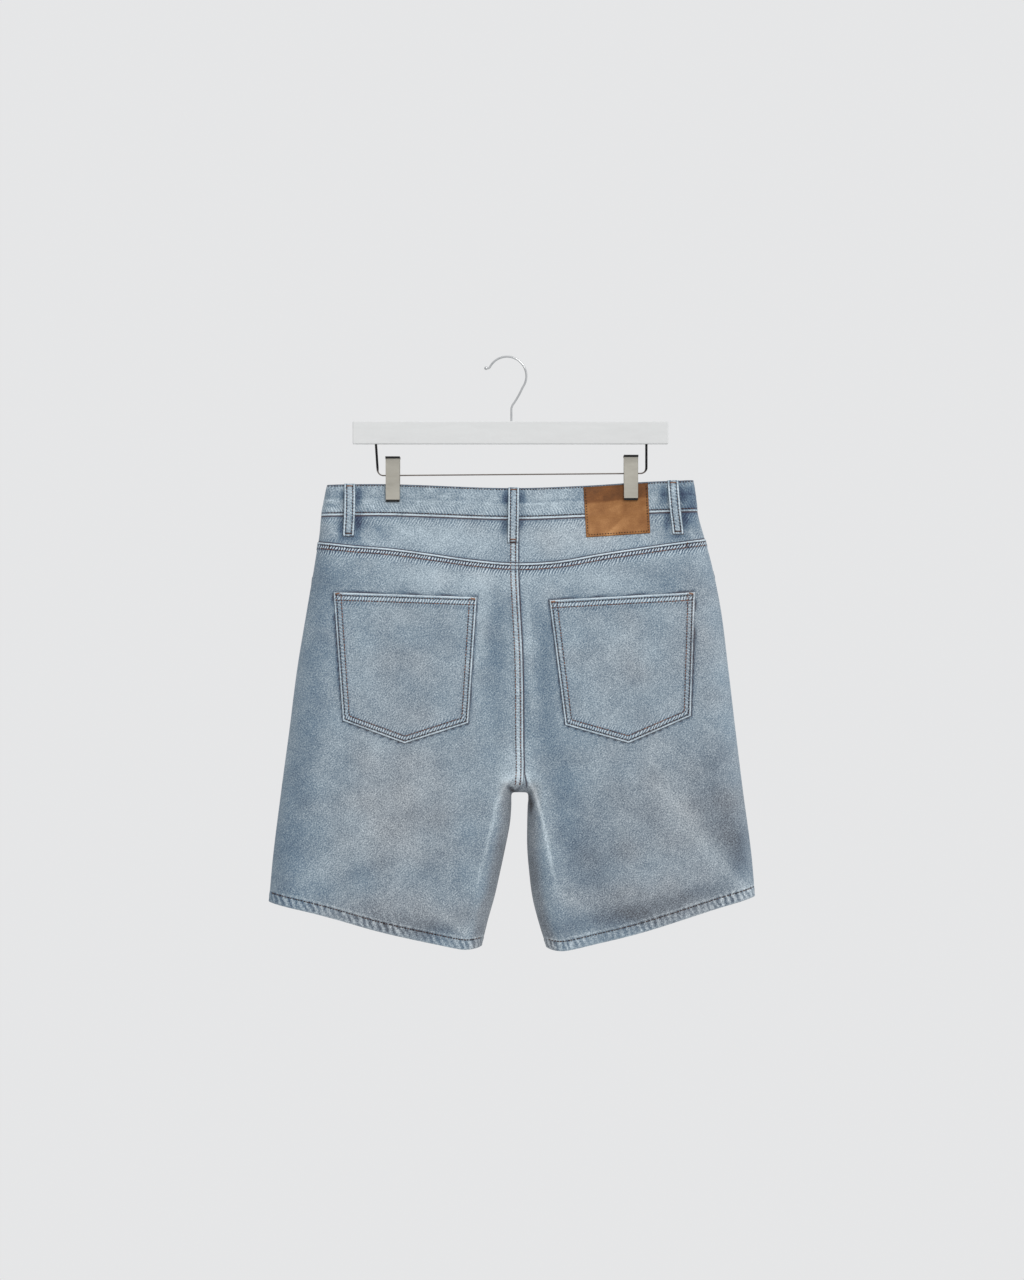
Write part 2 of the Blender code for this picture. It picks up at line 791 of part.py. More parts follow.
def build_facing(half):
    """Backs the mouth of a front pocket, one layer further in."""
    z_side = side_height(half, lambda x: band_seam(FRONT, x)) - SEAM_GAP / 2
    width = SCOOP_WIDTH + FACING_LAP
    drop = SCOOP_DROP + FACING_LAP
    cells_down, cells_across = FACING_CELLS
    seats = []
    for i in range(cells_down + 1):
        lower = drop * i / cells_down
        z_out = z_side - lower
        x_side = side_x(half, z_out)
        steps = [side_fold(z_out) * (1 - cos(turn)) for turn in FOLD_ANGLES]
        flat = [k / cells_across for k in range(1, cells_across + 1)]
        steps += [mix(steps[-1], width, share) for share in flat]
        line = []
        for j, step in enumerate(steps):
            x = x_side - half * step
            z = band_seam(FRONT, x) - SEAM_GAP / 2 - lower
            if j == 0:
                z = z_out
            line.append(seat(FRONT, x, z, j == 0))
        seats.append(line)
    inset = 2 * CLOTH + BEHIND_GAP
    layer("pocket_facing_" + side_name(half), seats, -inset, CLOTH, "denim")


def build_fly_shield():
    """Closes the front opening from behind."""
    cells_down, cells_across = FLY_CELLS
    seats = []
    for i in range(cells_down + 1):
        line = []
        for j in range(cells_across + 1):
            across = mix(-FLY_HALF, FLY_HALF, j / cells_across)
            start = band_seam(FRONT, CENTRE_X + across) - SEAM_GAP / 2
            z = start - FLY_LENGTH * i / cells_down
            line.append(seat(FRONT, centre_x(z) + across, z))
        seats.append(line)
    layer("fly_shield", seats, -2 * CLOTH - BEHIND_GAP, CLOTH, "denim")


def build_yoke(half):
    seats = []
    for i in range(YOKE_CELLS + 1):
        share = i / YOKE_CELLS
        z_out = mix(
            side_height(half, lambda x: band_seam(BACK, x)) - SEAM_GAP / 2,
            side_height(half, yoke_seam) + SEAM_GAP / 2,
            share,
        )
        x_out = side_x(half, z_out)
        x_in = CENTRE_X + half * SEAM_GAP / 2
        length = abs(x_out - x_in)
        line = []
        steps = spread(length, inner_fold(ARCH_Z), side_fold(z_out))
        for k, step in enumerate(steps):
            x = x_in + half * step
            top = band_seam(BACK, x) - SEAM_GAP / 2
            foot = yoke_seam(x) + SEAM_GAP / 2
            last = k == len(steps) - 1
            z = z_out if last else mix(top, foot, share)
            line.append(seat(BACK, x, z, last))
        line[0] = seat(BACK, centre_x(line[0][0].z) + half * SEAM_GAP / 2, line[0][0].z)
        seats.append(line)
    layer("back_yoke_" + side_name(half), seats, -CLOTH, CLOTH, "denim")


def band_stations(step):
    """Distances across the waistband from its left fold to its right fold, as x positions."""
    z = waist_edge(CENTRE_X) - BAND_HEIGHT / 2
    fold = side_fold(z)
    first = [(LEFT, fold * (1 - cos(turn))) for turn in FOLD_ANGLES]
    last = [(RIGHT, fold * (1 - cos(turn))) for turn in reversed(FOLD_ANGLES)]
    start = left_edge(z) + fold
    end = right_edge(z) - fold
    count = round((end - start) / step)
    middle = [(0, mix(start, end, k / count)) for k in range(1, count)]
    return first + middle + last


def station_x(station, z):
    half, value = station
    if half == 0:
        return value
    return side_x(half, z) - half * value


def build_waistband():
    """One strip: from the lap at the centre front round the left side, the back and the right
    side to the end under the lap."""
    z_middle = waist_edge(CENTRE_X) - BAND_HEIGHT / 2

    def place(station):
        return station_x(station, z_middle)

    back = band_stations(BAND_STEP_BACK)
    front = band_stations(BAND_STEP_FRONT)
    middle = centre_x(z_middle)
    lap_end = middle + LAP_HALF
    under_end = middle - LAP_HALF
    ramp_end = middle + LAP_RAMP[0] + BAND_NEAR
    over = [s for s in front if place(s) < lap_end - BAND_NEAR] + [(0, lap_end)]
    under = [s for s in front if under_end + BAND_NEAR < place(s) <= middle]
    under += [s for s in front if place(s) >= ramp_end]
    for k in range(LAP_CELLS + 1):
        under.append((0, middle + mix(LAP_RAMP[1], LAP_RAMP[0], k / LAP_CELLS)))
    under = sorted(under + [(0, under_end)], key=place)
    path = [(FRONT, s, False) for s in reversed(over)]
    path += [(BACK, s, False) for s in back[1:]]
    path += [(FRONT, s, True) for s in reversed(under[:-1])]

    seats = []
    shift = []
    for i in range(BAND_CELLS + 1):
        share = i / BAND_CELLS
        line = []
        moves = []
        for side, station, below in path:
            x = place(station)
            z = waist_top(side, x) - share * BAND_HEIGHT
            if i == BAND_CELLS:
                z += SEAM_GAP / 2
            x = station_x(station, z)
            line.append(seat(side, x, z))
            dived = below * (1 - ramp(LAP_RAMP[1], LAP_RAMP[0], x - middle))
            moves.append(-dived * (BAND_CLOTH + SEAM_GAP))
        seats.append(line)
        shift.append(moves)
    layer(
        "waistband",
        seats,
        lambda i, j: BAND_PROUD - BAND_CLOTH + shift[i][j],
        BAND_CLOTH,
        "denim",
    )


def build_pocket(pocket):
    """A five-cornered patch: straight top and sides, and a foot that comes to a point."""
    cells_down, cells_across = POCKET_CELLS
    seats = []
    for i in range(cells_down + 1):
        down = i / cells_down
        line = []
        for j in range(cells_across + 1):
            across = j / cells_across
            top_x = mix(pocket.top_in.x, pocket.top_out.x, across)
            top_z = mix(pocket.top_in.z, pocket.top_out.z, across)
            if across <= 0.5:
                foot_x = mix(pocket.foot_in.x, pocket.tip.x, across * 2)
                foot_z = mix(pocket.foot_in.z, pocket.tip.z, across * 2)
            else:
                foot_x = mix(pocket.tip.x, pocket.foot_out.x, across * 2 - 1)
                foot_z = mix(pocket.tip.z, pocket.foot_out.z, across * 2 - 1)
            line.append(seat(BACK, mix(top_x, foot_x, down), mix(top_z, foot_z, down)))
        seats.append(line)
    layer(pocket.name, seats, POCKET_GAP, POCKET_CLOTH, "denim")


def build_loop(loop):
    """A narrow strip sewn down at both ends, standing off the waistband between them."""
    cells_down, cells_across = LOOP_CELLS
    z_top = waist_top(loop.side, loop.x_top) + LOOP_OVER_TOP
    seam = band_seam(loop.side, loop.x_top)
    length = z_top - loop.z_foot
    seats = []
    lift = []
    for i in range(cells_down + 1):
        drop = length * i / cells_down
        z = z_top - drop
        middle = mix(loop.x_top, loop.x_foot, i / cells_down)
        on_band = 1 - ramp(*LOOP_LANDING, seam - z)
        stand_off = ramp(LOOP_TACK * 0.4, LOOP_TACK * 2, drop)
        stand_off *= ramp(LOOP_TACK, LOOP_TACK * 3, length - drop)
        lift.append(LOOP_GAP + BAND_PROUD * on_band + LOOP_STAND_OFF * stand_off)
        line = []
        for j in range(cells_across + 1):
            x = middle + LOOP_WIDTH * (j / cells_across - 0.5)
            line.append(seat(loop.side, x, z))
        seats.append(line)
    layer(loop.name, seats, lambda i, j: lift[i], LOOP_CLOTH, "denim")


def build_patch():
    cells_down, cells_across = PATCH_CELLS
    upper_in, upper_out, lower_out, lower_in = PATCH
    seats = []
    for i in range(cells_down + 1):
        down = i / cells_down
        line = []
        for j in range(cells_across + 1):
            across = j / cells_across
            upper_x = mix(upper_in.x, upper_out.x, across)
            upper_z = mix(upper_in.z, upper_out.z, across)
            lower_x = mix(lower_in.x, lower_out.x, across)
            lower_z = mix(lower_in.z, lower_out.z, across)
            line.append(seat(BACK, mix(upper_x, lower_x, down), mix(upper_z, lower_z, down)))
        seats.append(line)
    layer("leather_patch", seats, BAND_PROUD + PATCH_GAP, LEATHER, "leather")


def build_button():
    """A turned disc on a short neck, on the outer end of the waistband."""
    sides = BUTTON_SIDES
    z = waist_top(FRONT, CENTRE_X) - BAND_HEIGHT / 2
    foot, out = seat(FRONT, centre_x(z), z)
    foot = foot + out * (BAND_PROUD + SEAM_GAP)
    turn_to = out.to_track_quat("Z", "Y")
    points = []
    for ring in BUTTON:
        for k in range(sides):
            turn = 2 * pi * k / sides
            local = Vector((ring.radius * cos(turn), ring.radius * sin(turn), ring.height))
            points.append(foot + turn_to @ local)
    faces = [tuple(range(sides))]
    for i in range(len(BUTTON) - 1):
        for k in range(sides):
            a = i * sides + k
            b = i * sides + (k + 1) % sides
            faces.append((a, b, b + sides, a + sides))
    last = (len(BUTTON) - 1) * sides
    faces.append(tuple(range(last, last + sides)))
    add_object("waist_button", points, faces, "grey_steel")


# ---------------------------------------------------------------- the hanger


def cut(target, name, x, z_low, z_high, radius):
    """Bores an upright hole into an object."""
    bpy.ops.mesh.primitive_cylinder_add(
        vertices=BORE_SIDES,
        radius=radius * METRE,
        depth=(z_high - z_low) * METRE,
        location=(x * METRE, 0, (z_high + z_low) / 2 * METRE),
    )
    cutter = bpy.context.object
    cutter.name = name
    cutter.hide_render = True
    cutter.display_type = "WIRE"
    bore = target.modifiers.new(name, "BOOLEAN")
    bore.operation = "DIFFERENCE"
    bore.object = cutter


def build_bar():
    low = Vector((BAR_LEFT, -BAR_DEPTH / 2, BAR_BOTTOM))
    high = Vector((BAR_RIGHT, BAR_DEPTH / 2, BAR_TOP))
    points = [(x, y, z) for x in (low.x, high.x) for y in (low.y, high.y) for z in (low.z, high.z)]
    faces = [(0, 1, 3, 2), (4, 6, 7, 5), (0, 4, 5, 1), (2, 3, 7, 6), (0, 2, 6, 4), (1, 5, 7, 3)]
    bar = add_object("hanger_bar", points, faces, "white_paint")
    rounding = bar.modifiers.new("rounding", "BEVEL")
    rounding.width = BAR_ROUNDING * METRE
    rounding.segments = 2
    below = BAR_BOTTOM - BORE_OVERCUT
    wire_bore = FRAME_WIRE / 2 + SEAM_GAP
    cut(bar, "bore_left", FRAME_LEFT, below, BAR_BOTTOM + BORE_DEPTH, wire_bore)
    cut(bar, "bore_right", FRAME_RIGHT, below, BAR_BOTTOM + BORE_DEPTH, wire_bore)
    stem_bore = HOOK_WIRE / 2 + SEAM_GAP
    cut(bar, "bore_stem", STEM_X, BAR_TOP - BORE_DEPTH, BAR_TOP + BORE_OVERCUT, stem_bore)


def build_hook():
    """Stem, slanted neck, three quarters of a circle and a tip that turns out to a ball."""
    middle = Vector((0, 0, HOOK_WIRE / 2 - HOOK_RADIUS))

    def on_arc(turn):
        return middle + Vector((cos(turn), 0, sin(turn))) * HOOK_RADIUS

    knee = Vector((STEM_X, 0, HOOK_KNEE))
    neck_end = on_arc(HOOK_START)
    path = [
        Vector((STEM_X, 0, BAR_TOP - BORE_DEPTH + SEAM_GAP)),
        Vector((STEM_X, 0, HOOK_KNEE - 2 * HOOK_WIRE)),
        knee,
    ]
    for k in range(1, NECK_CELLS):
        bow = NECK_BOW * sin(pi * k / NECK_CELLS)
        path.append(knee.lerp(neck_end, k / NECK_CELLS) + Vector((bow, 0, 0)))
    path += [on_arc(mix(HOOK_START, HOOK_END, k / ARC_CELLS)) for k in range(ARC_CELLS + 1)]
    tip = path[-1]
    path.append(tip + Vector((-1.6, 0, -2.0)))
    path.append(tip + Vector((-3.6, 0, -2.5)))
    swell = [HOOK_WIRE / 2] * len(path)
    ball = path[-1] + Vector((-HOOK_BALL * 0.7, 0, 0.2))
    neck_turn = asin(HOOK_WIRE / 2 / HOOK_BALL)
    for k in range(1, BALL_CELLS + 1):
        turn = mix(neck_turn, pi - neck_turn / 4, k / BALL_CELLS)
        path.append(ball + Vector((-cos(pi - turn) * -HOOK_BALL, 0, 0)))
        swell.append(HOOK_BALL * sin(turn))
    tube("hanger_hook", path, HOOK_WIRE / 2, "chrome", 8, swell)


def frame_foot(x):
    """Height of the wire's level run, which tilts slightly."""
    share = (x - FRAME_LEFT) / (FRAME_RIGHT - FRAME_LEFT)
    return mix(FRAME_FOOT_LEFT, FRAME_FOOT_RIGHT, share)


def frame_bend(x, foot, start):
    """A quarter circle of wire that ends level or begins level at the height of its foot."""
    centre = Vector((x, 0, foot + FRAME_BEND))
    turns = [start + pi / 2 * k / BEND_CELLS for k in range(BEND_CELLS + 1)]
    return [centre + Vector((cos(turn), 0, sin(turn))) * FRAME_BEND for turn in turns]


def build_frame_wire():
    """Down from the bar, across through both clips, and up again."""
    top = BAR_BOTTOM + BORE_DEPTH - SEAM_GAP
    path = [Vector((FRAME_LEFT, 0, top))]
    path += frame_bend(FRAME_LEFT + FRAME_BEND, FRAME_FOOT_LEFT, pi)
    path += frame_bend(FRAME_RIGHT - FRAME_BEND, FRAME_FOOT_RIGHT, pi * 3 / 2)
    path.append(Vector((FRAME_RIGHT, 0, top)))
    tube("hanger_wire", path, FRAME_WIRE / 2, "dark_steel")


def strip_object(name, profile, x_low, x_high, finish):
    """A profile of (y, z) points pulled out along X."""
    points = [(x, y, z) for x in (x_low, x_high) for y, z in profile]
    count = len(profile)
    faces = [tuple(range(count)), tuple(range(2 * count - 1, count - 1, -1))]
    for k in range(count):
        a = k
        b = (k + 1) % count
        faces.append((a, b, b + count, a + count))
    return add_object(name, points, faces, finish)


def build_clip(clip):
    """Two sprung plates on a barrel round the wire. Each jaw carries its rubber lining."""
    low = clip.x - CLIP_WIDTH / 2
    high = clip.x + CLIP_WIDTH / 2
    z_foot = clip.z_top - CLIP_HEIGHT
    z_wire = frame_foot(clip.x)
    over_patch = clip.name == "clip_right"
    for side, word in ((BACK, "back"), (FRONT, "front")):
        cloth = CLIP_DEPTH + BAND_PROUD
        if side == BACK and over_patch:
            cloth += PATCH_GAP + LEATHER
        lining = cloth + SEAM_GAP
        jaw = lining + JAW_LINING
        arm = BARREL_RADIUS + SEAM_GAP
        top = arm + (arm - jaw) * 0.6 + 0.8  # the finger end flares out
        inner = [
            (lining, z_foot + 0.5),
            (lining, z_foot + JAW_HEIGHT),
            (jaw, z_foot + JAW_HEIGHT + 0.6),
            (arm, z_wire - ARM_HALF),
            (arm, z_wire + ARM_HALF),
            (top, clip.z_top - 3.5),
            (top + 1.2, clip.z_top - 1.2),
            (top + 2.4, clip.z_top),
        ]
        outer = [(y + CLIP_SHEET, z) for y, z in reversed(inner[2:])]
        outer += [(jaw + CLIP_SHEET, z_foot + 1.0), (jaw + CLIP_SHEET * 0.6, z_foot)]
        plate = [(side * y, z) for y, z in inner + outer]
        strip_object(f"{clip.name}_{word}_plate", plate, low, high, "grey_steel")
    build_barrel(clip, z_wire)


def build_barrel(clip, z_wire):
    """The coiled spring as one plain sleeve, with the wire through it."""
    sides = BARREL_SIDES
    bore = FRAME_WIRE / 2 + SEAM_GAP
    half = BARREL_LENGTH / 2
    rings = ((-half, bore), (-half, BARREL_RADIUS), (half, BARREL_RADIUS), (half, bore))
    points = []
    for x, radius in rings:
        for k in range(sides):
            turn = 2 * pi * k / sides
            points.append((clip.x + x, radius * cos(turn), z_wire + radius * sin(turn)))
    faces = []
    for i in range(len(rings)):
        after = (i + 1) % len(rings)
        for k in range(sides):
            n = (k + 1) % sides
            row = [i * sides + k, i * sides + n, after * sides + n, after * sides + k]
            faces.append(tuple(row))
    add_object(f"{clip.name}_barrel", points, faces, "dark_steel")


def main():
    for old in list(bpy.data.objects):
        bpy.data.objects.remove(old)
    for half in (LEFT, RIGHT):
        build_back_panel(half)
        build_yoke(half)
        build_front_panel(half)
        build_facing(half)
    build_fly_shield()
    build_waistband()
    for pocket in POCKETS:
        build_pocket(pocket)
    for loop in LOOPS:
        build_loop(loop)
    build_patch()
    build_button()
    build_bar()
    build_hook()
    build_frame_wire()
    for clip in CLIPS:
        build_clip(clip)


main()
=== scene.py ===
"""Looks of denim shorts that hang flat from a clip hanger.

Lengths are in millimetres until a mesh is made. Z points up, the back of the shorts faces -Y.
Every cloth piece is a thin shell on the same nominal surface as its solid, sampled finely,
with its seams, puckers and worn edges raised or coloured on it, and with painted shade and
highlights along its seams, edges and creases.
"""

from collections import namedtuple
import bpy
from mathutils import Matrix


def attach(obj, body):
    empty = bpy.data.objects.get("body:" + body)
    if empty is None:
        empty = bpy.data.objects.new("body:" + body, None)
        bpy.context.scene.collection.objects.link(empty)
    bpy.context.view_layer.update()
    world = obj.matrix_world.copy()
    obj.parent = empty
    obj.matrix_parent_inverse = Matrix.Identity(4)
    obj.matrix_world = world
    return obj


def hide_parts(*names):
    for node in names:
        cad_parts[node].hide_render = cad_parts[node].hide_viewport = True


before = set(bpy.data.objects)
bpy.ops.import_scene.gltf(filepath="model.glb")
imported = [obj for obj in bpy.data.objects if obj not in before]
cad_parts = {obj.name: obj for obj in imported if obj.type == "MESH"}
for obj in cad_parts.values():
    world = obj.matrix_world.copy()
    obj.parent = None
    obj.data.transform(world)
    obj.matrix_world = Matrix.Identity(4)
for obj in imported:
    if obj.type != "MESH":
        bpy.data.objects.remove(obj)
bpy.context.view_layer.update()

import bpy
import numpy as np
from mathutils import Vector

MM = 0.001
PI = np.pi
BACK = -1
FRONT = 1
LEFT = -1
RIGHT = 1

# ---------------------------------------------------------------- sizes shared with the solids

CLOTH = 1.2
BAND_CLOTH = 2.4
BAND_PROUD = 0.6
HEM_CLOTH = 3.0
HEM_HEIGHT = 12.0
LOOP_CLOTH = 2.0
LEATHER = 1.2
POCKET_GAP = 0.5
POCKET_CLOTH = 1.3
BEHIND_GAP = 0.8
BAND_HEIGHT = 37.5
LAP_HALF = 21.0
LAP_RAMP = (36.0, 23.0)
FRONT_WAIST_DIP = 6.0
FRONT_HEM_RISE = 5.0
HEM_CORNER_RISE = 4.5
ARCH_Z = -534.0
ARCH_POWER = 6.0
CENTRE_X = 5.0
WAIST_HALF = 215.0
SCOOP_WIDTH = 88.0
SCOOP_DROP = 72.0
FACING_LAP = 16.0
FLY_HALF = 22.0
FLY_LENGTH = 150.0
LOOP_WIDTH = 13.2
LOOP_GAP = 0.5
LOOP_STAND_OFF = 2.5
LOOP_TACK = 7.0
LOOP_OVER_TOP = 0.4
LOOP_LANDING = (2.0, 9.0)
PATCH_GAP = 0.4
CLIP_DEPTH = 2.4
CLIP_FLAT = 13.0
CLIP_REACH = 85.0
CLIP_DRAG = 75.0
JAW_FOOT = -176.0
# The fine shells of the back and the front meet at the folds with this gap.
CROWN_GAP = 0.04
# The centre seams run out between these heights.
SEAM_FADES = -470.0
SEAM_THINS = -505.0
SEAM_FOOT = -521.0
HALF_NAMES = {LEFT: "left", RIGHT: "right"}
SIDE_NAMES = {BACK: "back", FRONT: "front"}


def rows_of(kind, *rows):
    return tuple(kind(*row) for row in rows)


def one_side(kind, side, *rows):
    return tuple(kind(side, *row) for row in rows)


Section = namedtuple("Section", "z left right back front side_fold")
SECTIONS = rows_of(
    Section,
    (-145, -214.8, 223.8, 6.5, 6.5, 8.0), (-172, -220.2, 227.9, 11.0, 10.5, 11.0),
    (-190, -223.8, 230.4, 12.5, 12.0, 14.0), (-215, -226.4, 237.3, 15.5, 14.5, 20.0),
    (-250, -231.8, 246.6, 20.5, 18.5, 28.0), (-300, -240.4, 257.0, 25.0, 22.5, 35.0),
    (-375, -252.8, 266.6, 28.0, 25.0, 38.0), (-450, -262.4, 275.4, 28.5, 26.0, 38.0),
    (-520, -271.8, 284.0, 27.5, 26.0, 36.0), (-600, -281.8, 294.6, 27.5, 27.0, 34.0),
    (-650, -286.5, 298.8, 28.5, 28.0, 32.0), (-715, -293.8, 304.4, 30.0, 29.5, 32.0),
)
Gap = namedtuple("Gap", "z middle half_width fold")
GAPS = rows_of(
    Gap,
    (-532, 15.4, 10.2, 20.0), (-560, 14.0, 10.8, 21.0), (-590, 11.2, 13.6, 23.0),
    (-620, 9.2, 18.0, 26.0), (-650, 7.7, 23.3, 28.0), (-676, 7.2, 30.2, 28.0), (-715, 8.5, 41.0, 28.0),
)
CentreLine = namedtuple("CentreLine", "z x")
CENTRE_SEAM = rows_of(
    CentreLine,
    (-150, 6.5), (-232, 7.6), (-280, 8.6), (-466, 13.7), (-521.8, 15.4),
)
Edge = namedtuple("Edge", "x z")
WAIST_EDGE = rows_of(
    Edge,
    (-225, -153.4), (-150, -152.4), (6, -157.4), (92, -154.6), (170, -149.6), (230, -147.6),
)
YOKE_SEAM = rows_of(
    Edge,
    (-240, -220.8), (-185, -226.9), (-139, -230.6), (-88, -237.4), (-38, -244.2), (8, -248.0),
    (61, -245.5), (115, -236.4), (170, -228.2), (250, -217.0),
)
HEM = rows_of(
    Edge,
    (-290, -654.6), (-243, -665.5), (-205, -675.2), (-154, -689.6), (-88, -704.6), (-50, -711.9),
    (-29, -714.0), (45, -716.0), (62, -714.4), (110, -704.0), (162, -690.8), (212, -675.2),
    (257, -660.8), (302, -647.8),
)

# Soft ridges and troughs of the solids.
Fold = namedtuple("Fold", "side x_top z_top x_foot z_foot half_width rise")
FOLDS = one_side(
    Fold, BACK,
    (2, -480, -10, -520, 13, 1.4), (-15, -541, -38, -660, 13, 2.4), (26, -500, 38, -556, 13, 1.8),
    (44, -577, 60, -665, 13, 2.4), (-18, -300, -14, -450, 20, -1.8), (37, -330, 35, -450, 20, -1.8),
    (-118, -200, -100, -262, 26, 1.6), (-160, -200, -185, -262, 26, 1.5),
    (132, -200, 112, -262, 26, 1.6), (168, -196, 192, -258, 26, 1.5), (-146, -500, -150, -640, 62, 3.0),
    (172, -500, 166, -640, 62, 3.0), (-222, -600, -232, -680, 30, -2.4),
    (-92, -640, -88, -720, 27, -2.2), (112, -640, 108, -720, 27, -2.0),
    (238, -590, 246, -670, 30, -2.2),
) + one_side(
    Fold, FRONT,
    (2, -480, -34, -655, 14, 2.2), (28, -490, 58, -660, 14, 2.2), (-20, -400, -120, -372, 20, 1.6),
    (-18, -440, -110, -442, 20, 1.4), (36, -402, 138, -370, 20, 1.6), (38, -442, 130, -446, 20, 1.4),
    (-116, -200, -96, -290, 26, 1.5), (130, -200, 110, -290, 26, 1.5),
    (-150, -500, -150, -640, 60, 2.6), (168, -500, 166, -640, 60, 2.6),
    (-214, -600, -226, -680, 30, -2.2), (-98, -620, -92, -715, 28, -2.2),
    (118, -620, 112, -715, 28, -2.2), (228, -600, 240, -670, 30, -2.2),
)

Pocket = namedtuple("Pocket", "name top_in top_out foot_in foot_out tip")
POCKETS = (
    Pocket(
        "back_pocket_left",
        top_in=Edge(-36.0, -288.7),
        top_out=Edge(-208.2, -282.7),
        foot_in=Edge(-46.1, -439.9),
        foot_out=Edge(-196.8, -437.2),
        tip=Edge(-122.4, -464.4),
    ),
    Pocket(
        "back_pocket_right",
        top_in=Edge(50.4, -292.3),
        top_out=Edge(225.6, -282.7),
        foot_in=Edge(69.6, -442.3),
        foot_out=Edge(220.4, -431.5),
        tip=Edge(145.8, -463.9),
    ),
)
Loop = namedtuple("Loop", "name side x_top x_foot z_foot")
LOOPS = (
    Loop("belt_loop_back_left", BACK, -189.6, -190.7, -216.1),
    Loop("belt_loop_back_centre", BACK, 8.1, 7.3, -224.4),
    Loop("belt_loop_back_right", BACK, 199.8, 206.0, -213.6),
    Loop("belt_loop_front_left", FRONT, -107.0, -108.5, -219.0),
    Loop("belt_loop_front_right", FRONT, 119.0, 120.5, -217.5),
)
PATCH = (Edge(91.6, -156.5), Edge(169.8, -150.9), Edge(172.4, -211.9), Edge(95.2, -217.0))
Clip = namedtuple("Clip", "name x z_top")
CLIPS = (Clip("clip_left", -137.6, -119.5), Clip("clip_right", 149.3, -117.6))
CLIP_WIDTH = 17.0
CLIP_HEIGHT = 53.4

# ---------------------------------------------------------------- smooth tables


def smooth(table, key, column):
    """A smooth function through one column of a table, linear beyond its ends."""
    rows = sorted(table, key=lambda row: getattr(row, key))
    at = np.array([getattr(row, key) for row in rows], float)
    value = np.array([getattr(row, column) for row in rows], float)
    rise = np.diff(value) / np.diff(at)
    slope = np.concatenate((rise[:1], (rise[1:] + rise[:-1]) / 2, rise[-1:]))

    def read(where):
        where = np.asarray(where, float)
        i = np.clip(np.searchsorted(at, where, side="right") - 1, 0, len(at) - 2)
        span = at[i + 1] - at[i]
        t = np.clip((where - at[i]) / span, 0, 1)
        start = value[i] * (1 + 2 * t) * (1 - t) ** 2 + slope[i] * span * t * (1 - t) ** 2
        end = value[i + 1] * t * t * (3 - 2 * t) + slope[i + 1] * span * t * t * (t - 1)
        below = np.minimum(where - at[0], 0) * slope[0]
        above = np.maximum(where - at[-1], 0) * slope[-1]
        return start + end + below + above

    return read


left_edge = smooth(SECTIONS, "z", "left")
right_edge = smooth(SECTIONS, "z", "right")
back_depth = smooth(SECTIONS, "z", "back")
front_depth = smooth(SECTIONS, "z", "front")
side_fold = smooth(SECTIONS, "z", "side_fold")
gap_middle = smooth(GAPS, "z", "middle")
gap_half = smooth(GAPS, "z", "half_width")
gap_fold = smooth(GAPS, "z", "fold")
centre_x = smooth(CENTRE_SEAM, "z", "x")
waist_edge = smooth(WAIST_EDGE, "x", "z")
yoke_seam = smooth(YOKE_SEAM, "x", "z")
hem_line = smooth(HEM, "x", "z")


def ramp(start, end, where):
    """0 before start, 1 after end, smooth between them."""
    t = np.clip((where - start) / (end - start), 0, 1)
    return t * t * (3 - 2 * t)


def bell(where, middle, width):
    return np.exp(-(((where - middle) / width) ** 2))


def mix(a, b, t):
    return a + (b - a) * t


def turned_edge(d, radius):
    """How far a rounded edge falls away: 1 at the edge itself, 0 from the radius inwards."""
    return 1 - np.sqrt(1 - (1 - np.clip(d / radius, 0, 1)) ** 2)


def stronger(a, b):
    return np.where(np.abs(a) > np.abs(b), a, b)


def side_x(half, z):
    return left_edge(z) if half == LEFT else right_edge(z)


def waist_top(side, x):
    away = (x - CENTRE_X) / WAIST_HALF
    dip = np.where(np.equal(side, FRONT), FRONT_WAIST_DIP, 0.0)
    return waist_edge(x) - dip * np.maximum(0.0, 1 - away * away) ** 2


def band_seam(side, x):
    return waist_top(side, x) - BAND_HEIGHT


# ---------------------------------------------------------------- the nominal surface


def distance_to_side(x, z):
    return np.minimum(x - left_edge(z), right_edge(z) - x)


def distance_to_gap(x, z):
    top = GAPS[0]
    over = np.abs(x - top.middle) ** ARCH_POWER + np.maximum(z - ARCH_Z, 0) ** ARCH_POWER
    arch = over ** (1 / ARCH_POWER) - top.half_width
    leg = np.abs(x - gap_middle(z)) - gap_half(z)
    return np.where(z >= ARCH_Z, arch, leg)


def inner_fold(z):
    return gap_fold(np.minimum(z, ARCH_Z))


def turned_away(x, z):
    at_side = np.maximum(0.0, 1 - distance_to_side(x, z) / side_fold(z))
    at_gap = np.maximum(0.0, 1 - distance_to_gap(x, z) / inner_fold(z))
    return at_side, at_gap


def line_distance(x, z, line):
    """Distance from a line that runs from a top to a foot, and how far along it, 0 to 1."""
    run_x = line.x_foot - line.x_top
    run_z = line.z_foot - line.z_top
    along = ((x - line.x_top) * run_x + (z - line.z_top) * run_z) / (run_x**2 + run_z**2)
    along = np.clip(along, 0, 1)
    off = np.hypot(x - line.x_top - along * run_x, z - line.z_top - along * run_z)
    return off, along


def pinch(x, z):
    most = np.zeros(np.broadcast(x, z).shape)
    for clip in CLIPS:
        across = 1 - ramp(CLIP_FLAT, CLIP_REACH, np.abs(x - clip.x))
        down = 1 - ramp(0, CLIP_DRAG, JAW_FOOT - z)
        most = np.maximum(most, across * down)
    return most


def depth(side, x, z):
    base = np.where(np.equal(side, BACK), back_depth(z), front_depth(z))
    for fold in FOLDS:
        off, _ = line_distance(x, z, fold)
        base = base + np.equal(side, fold.side) * fold.rise * bell(off, 0, fold.half_width)
    return mix(base, CLIP_DEPTH, pinch(x, z))


def level(side, x, y, z):
    at_side, at_gap = turned_away(x, z)
    return (y / depth(side, x, z)) ** 2 + at_side**2 + at_gap**2 - 1


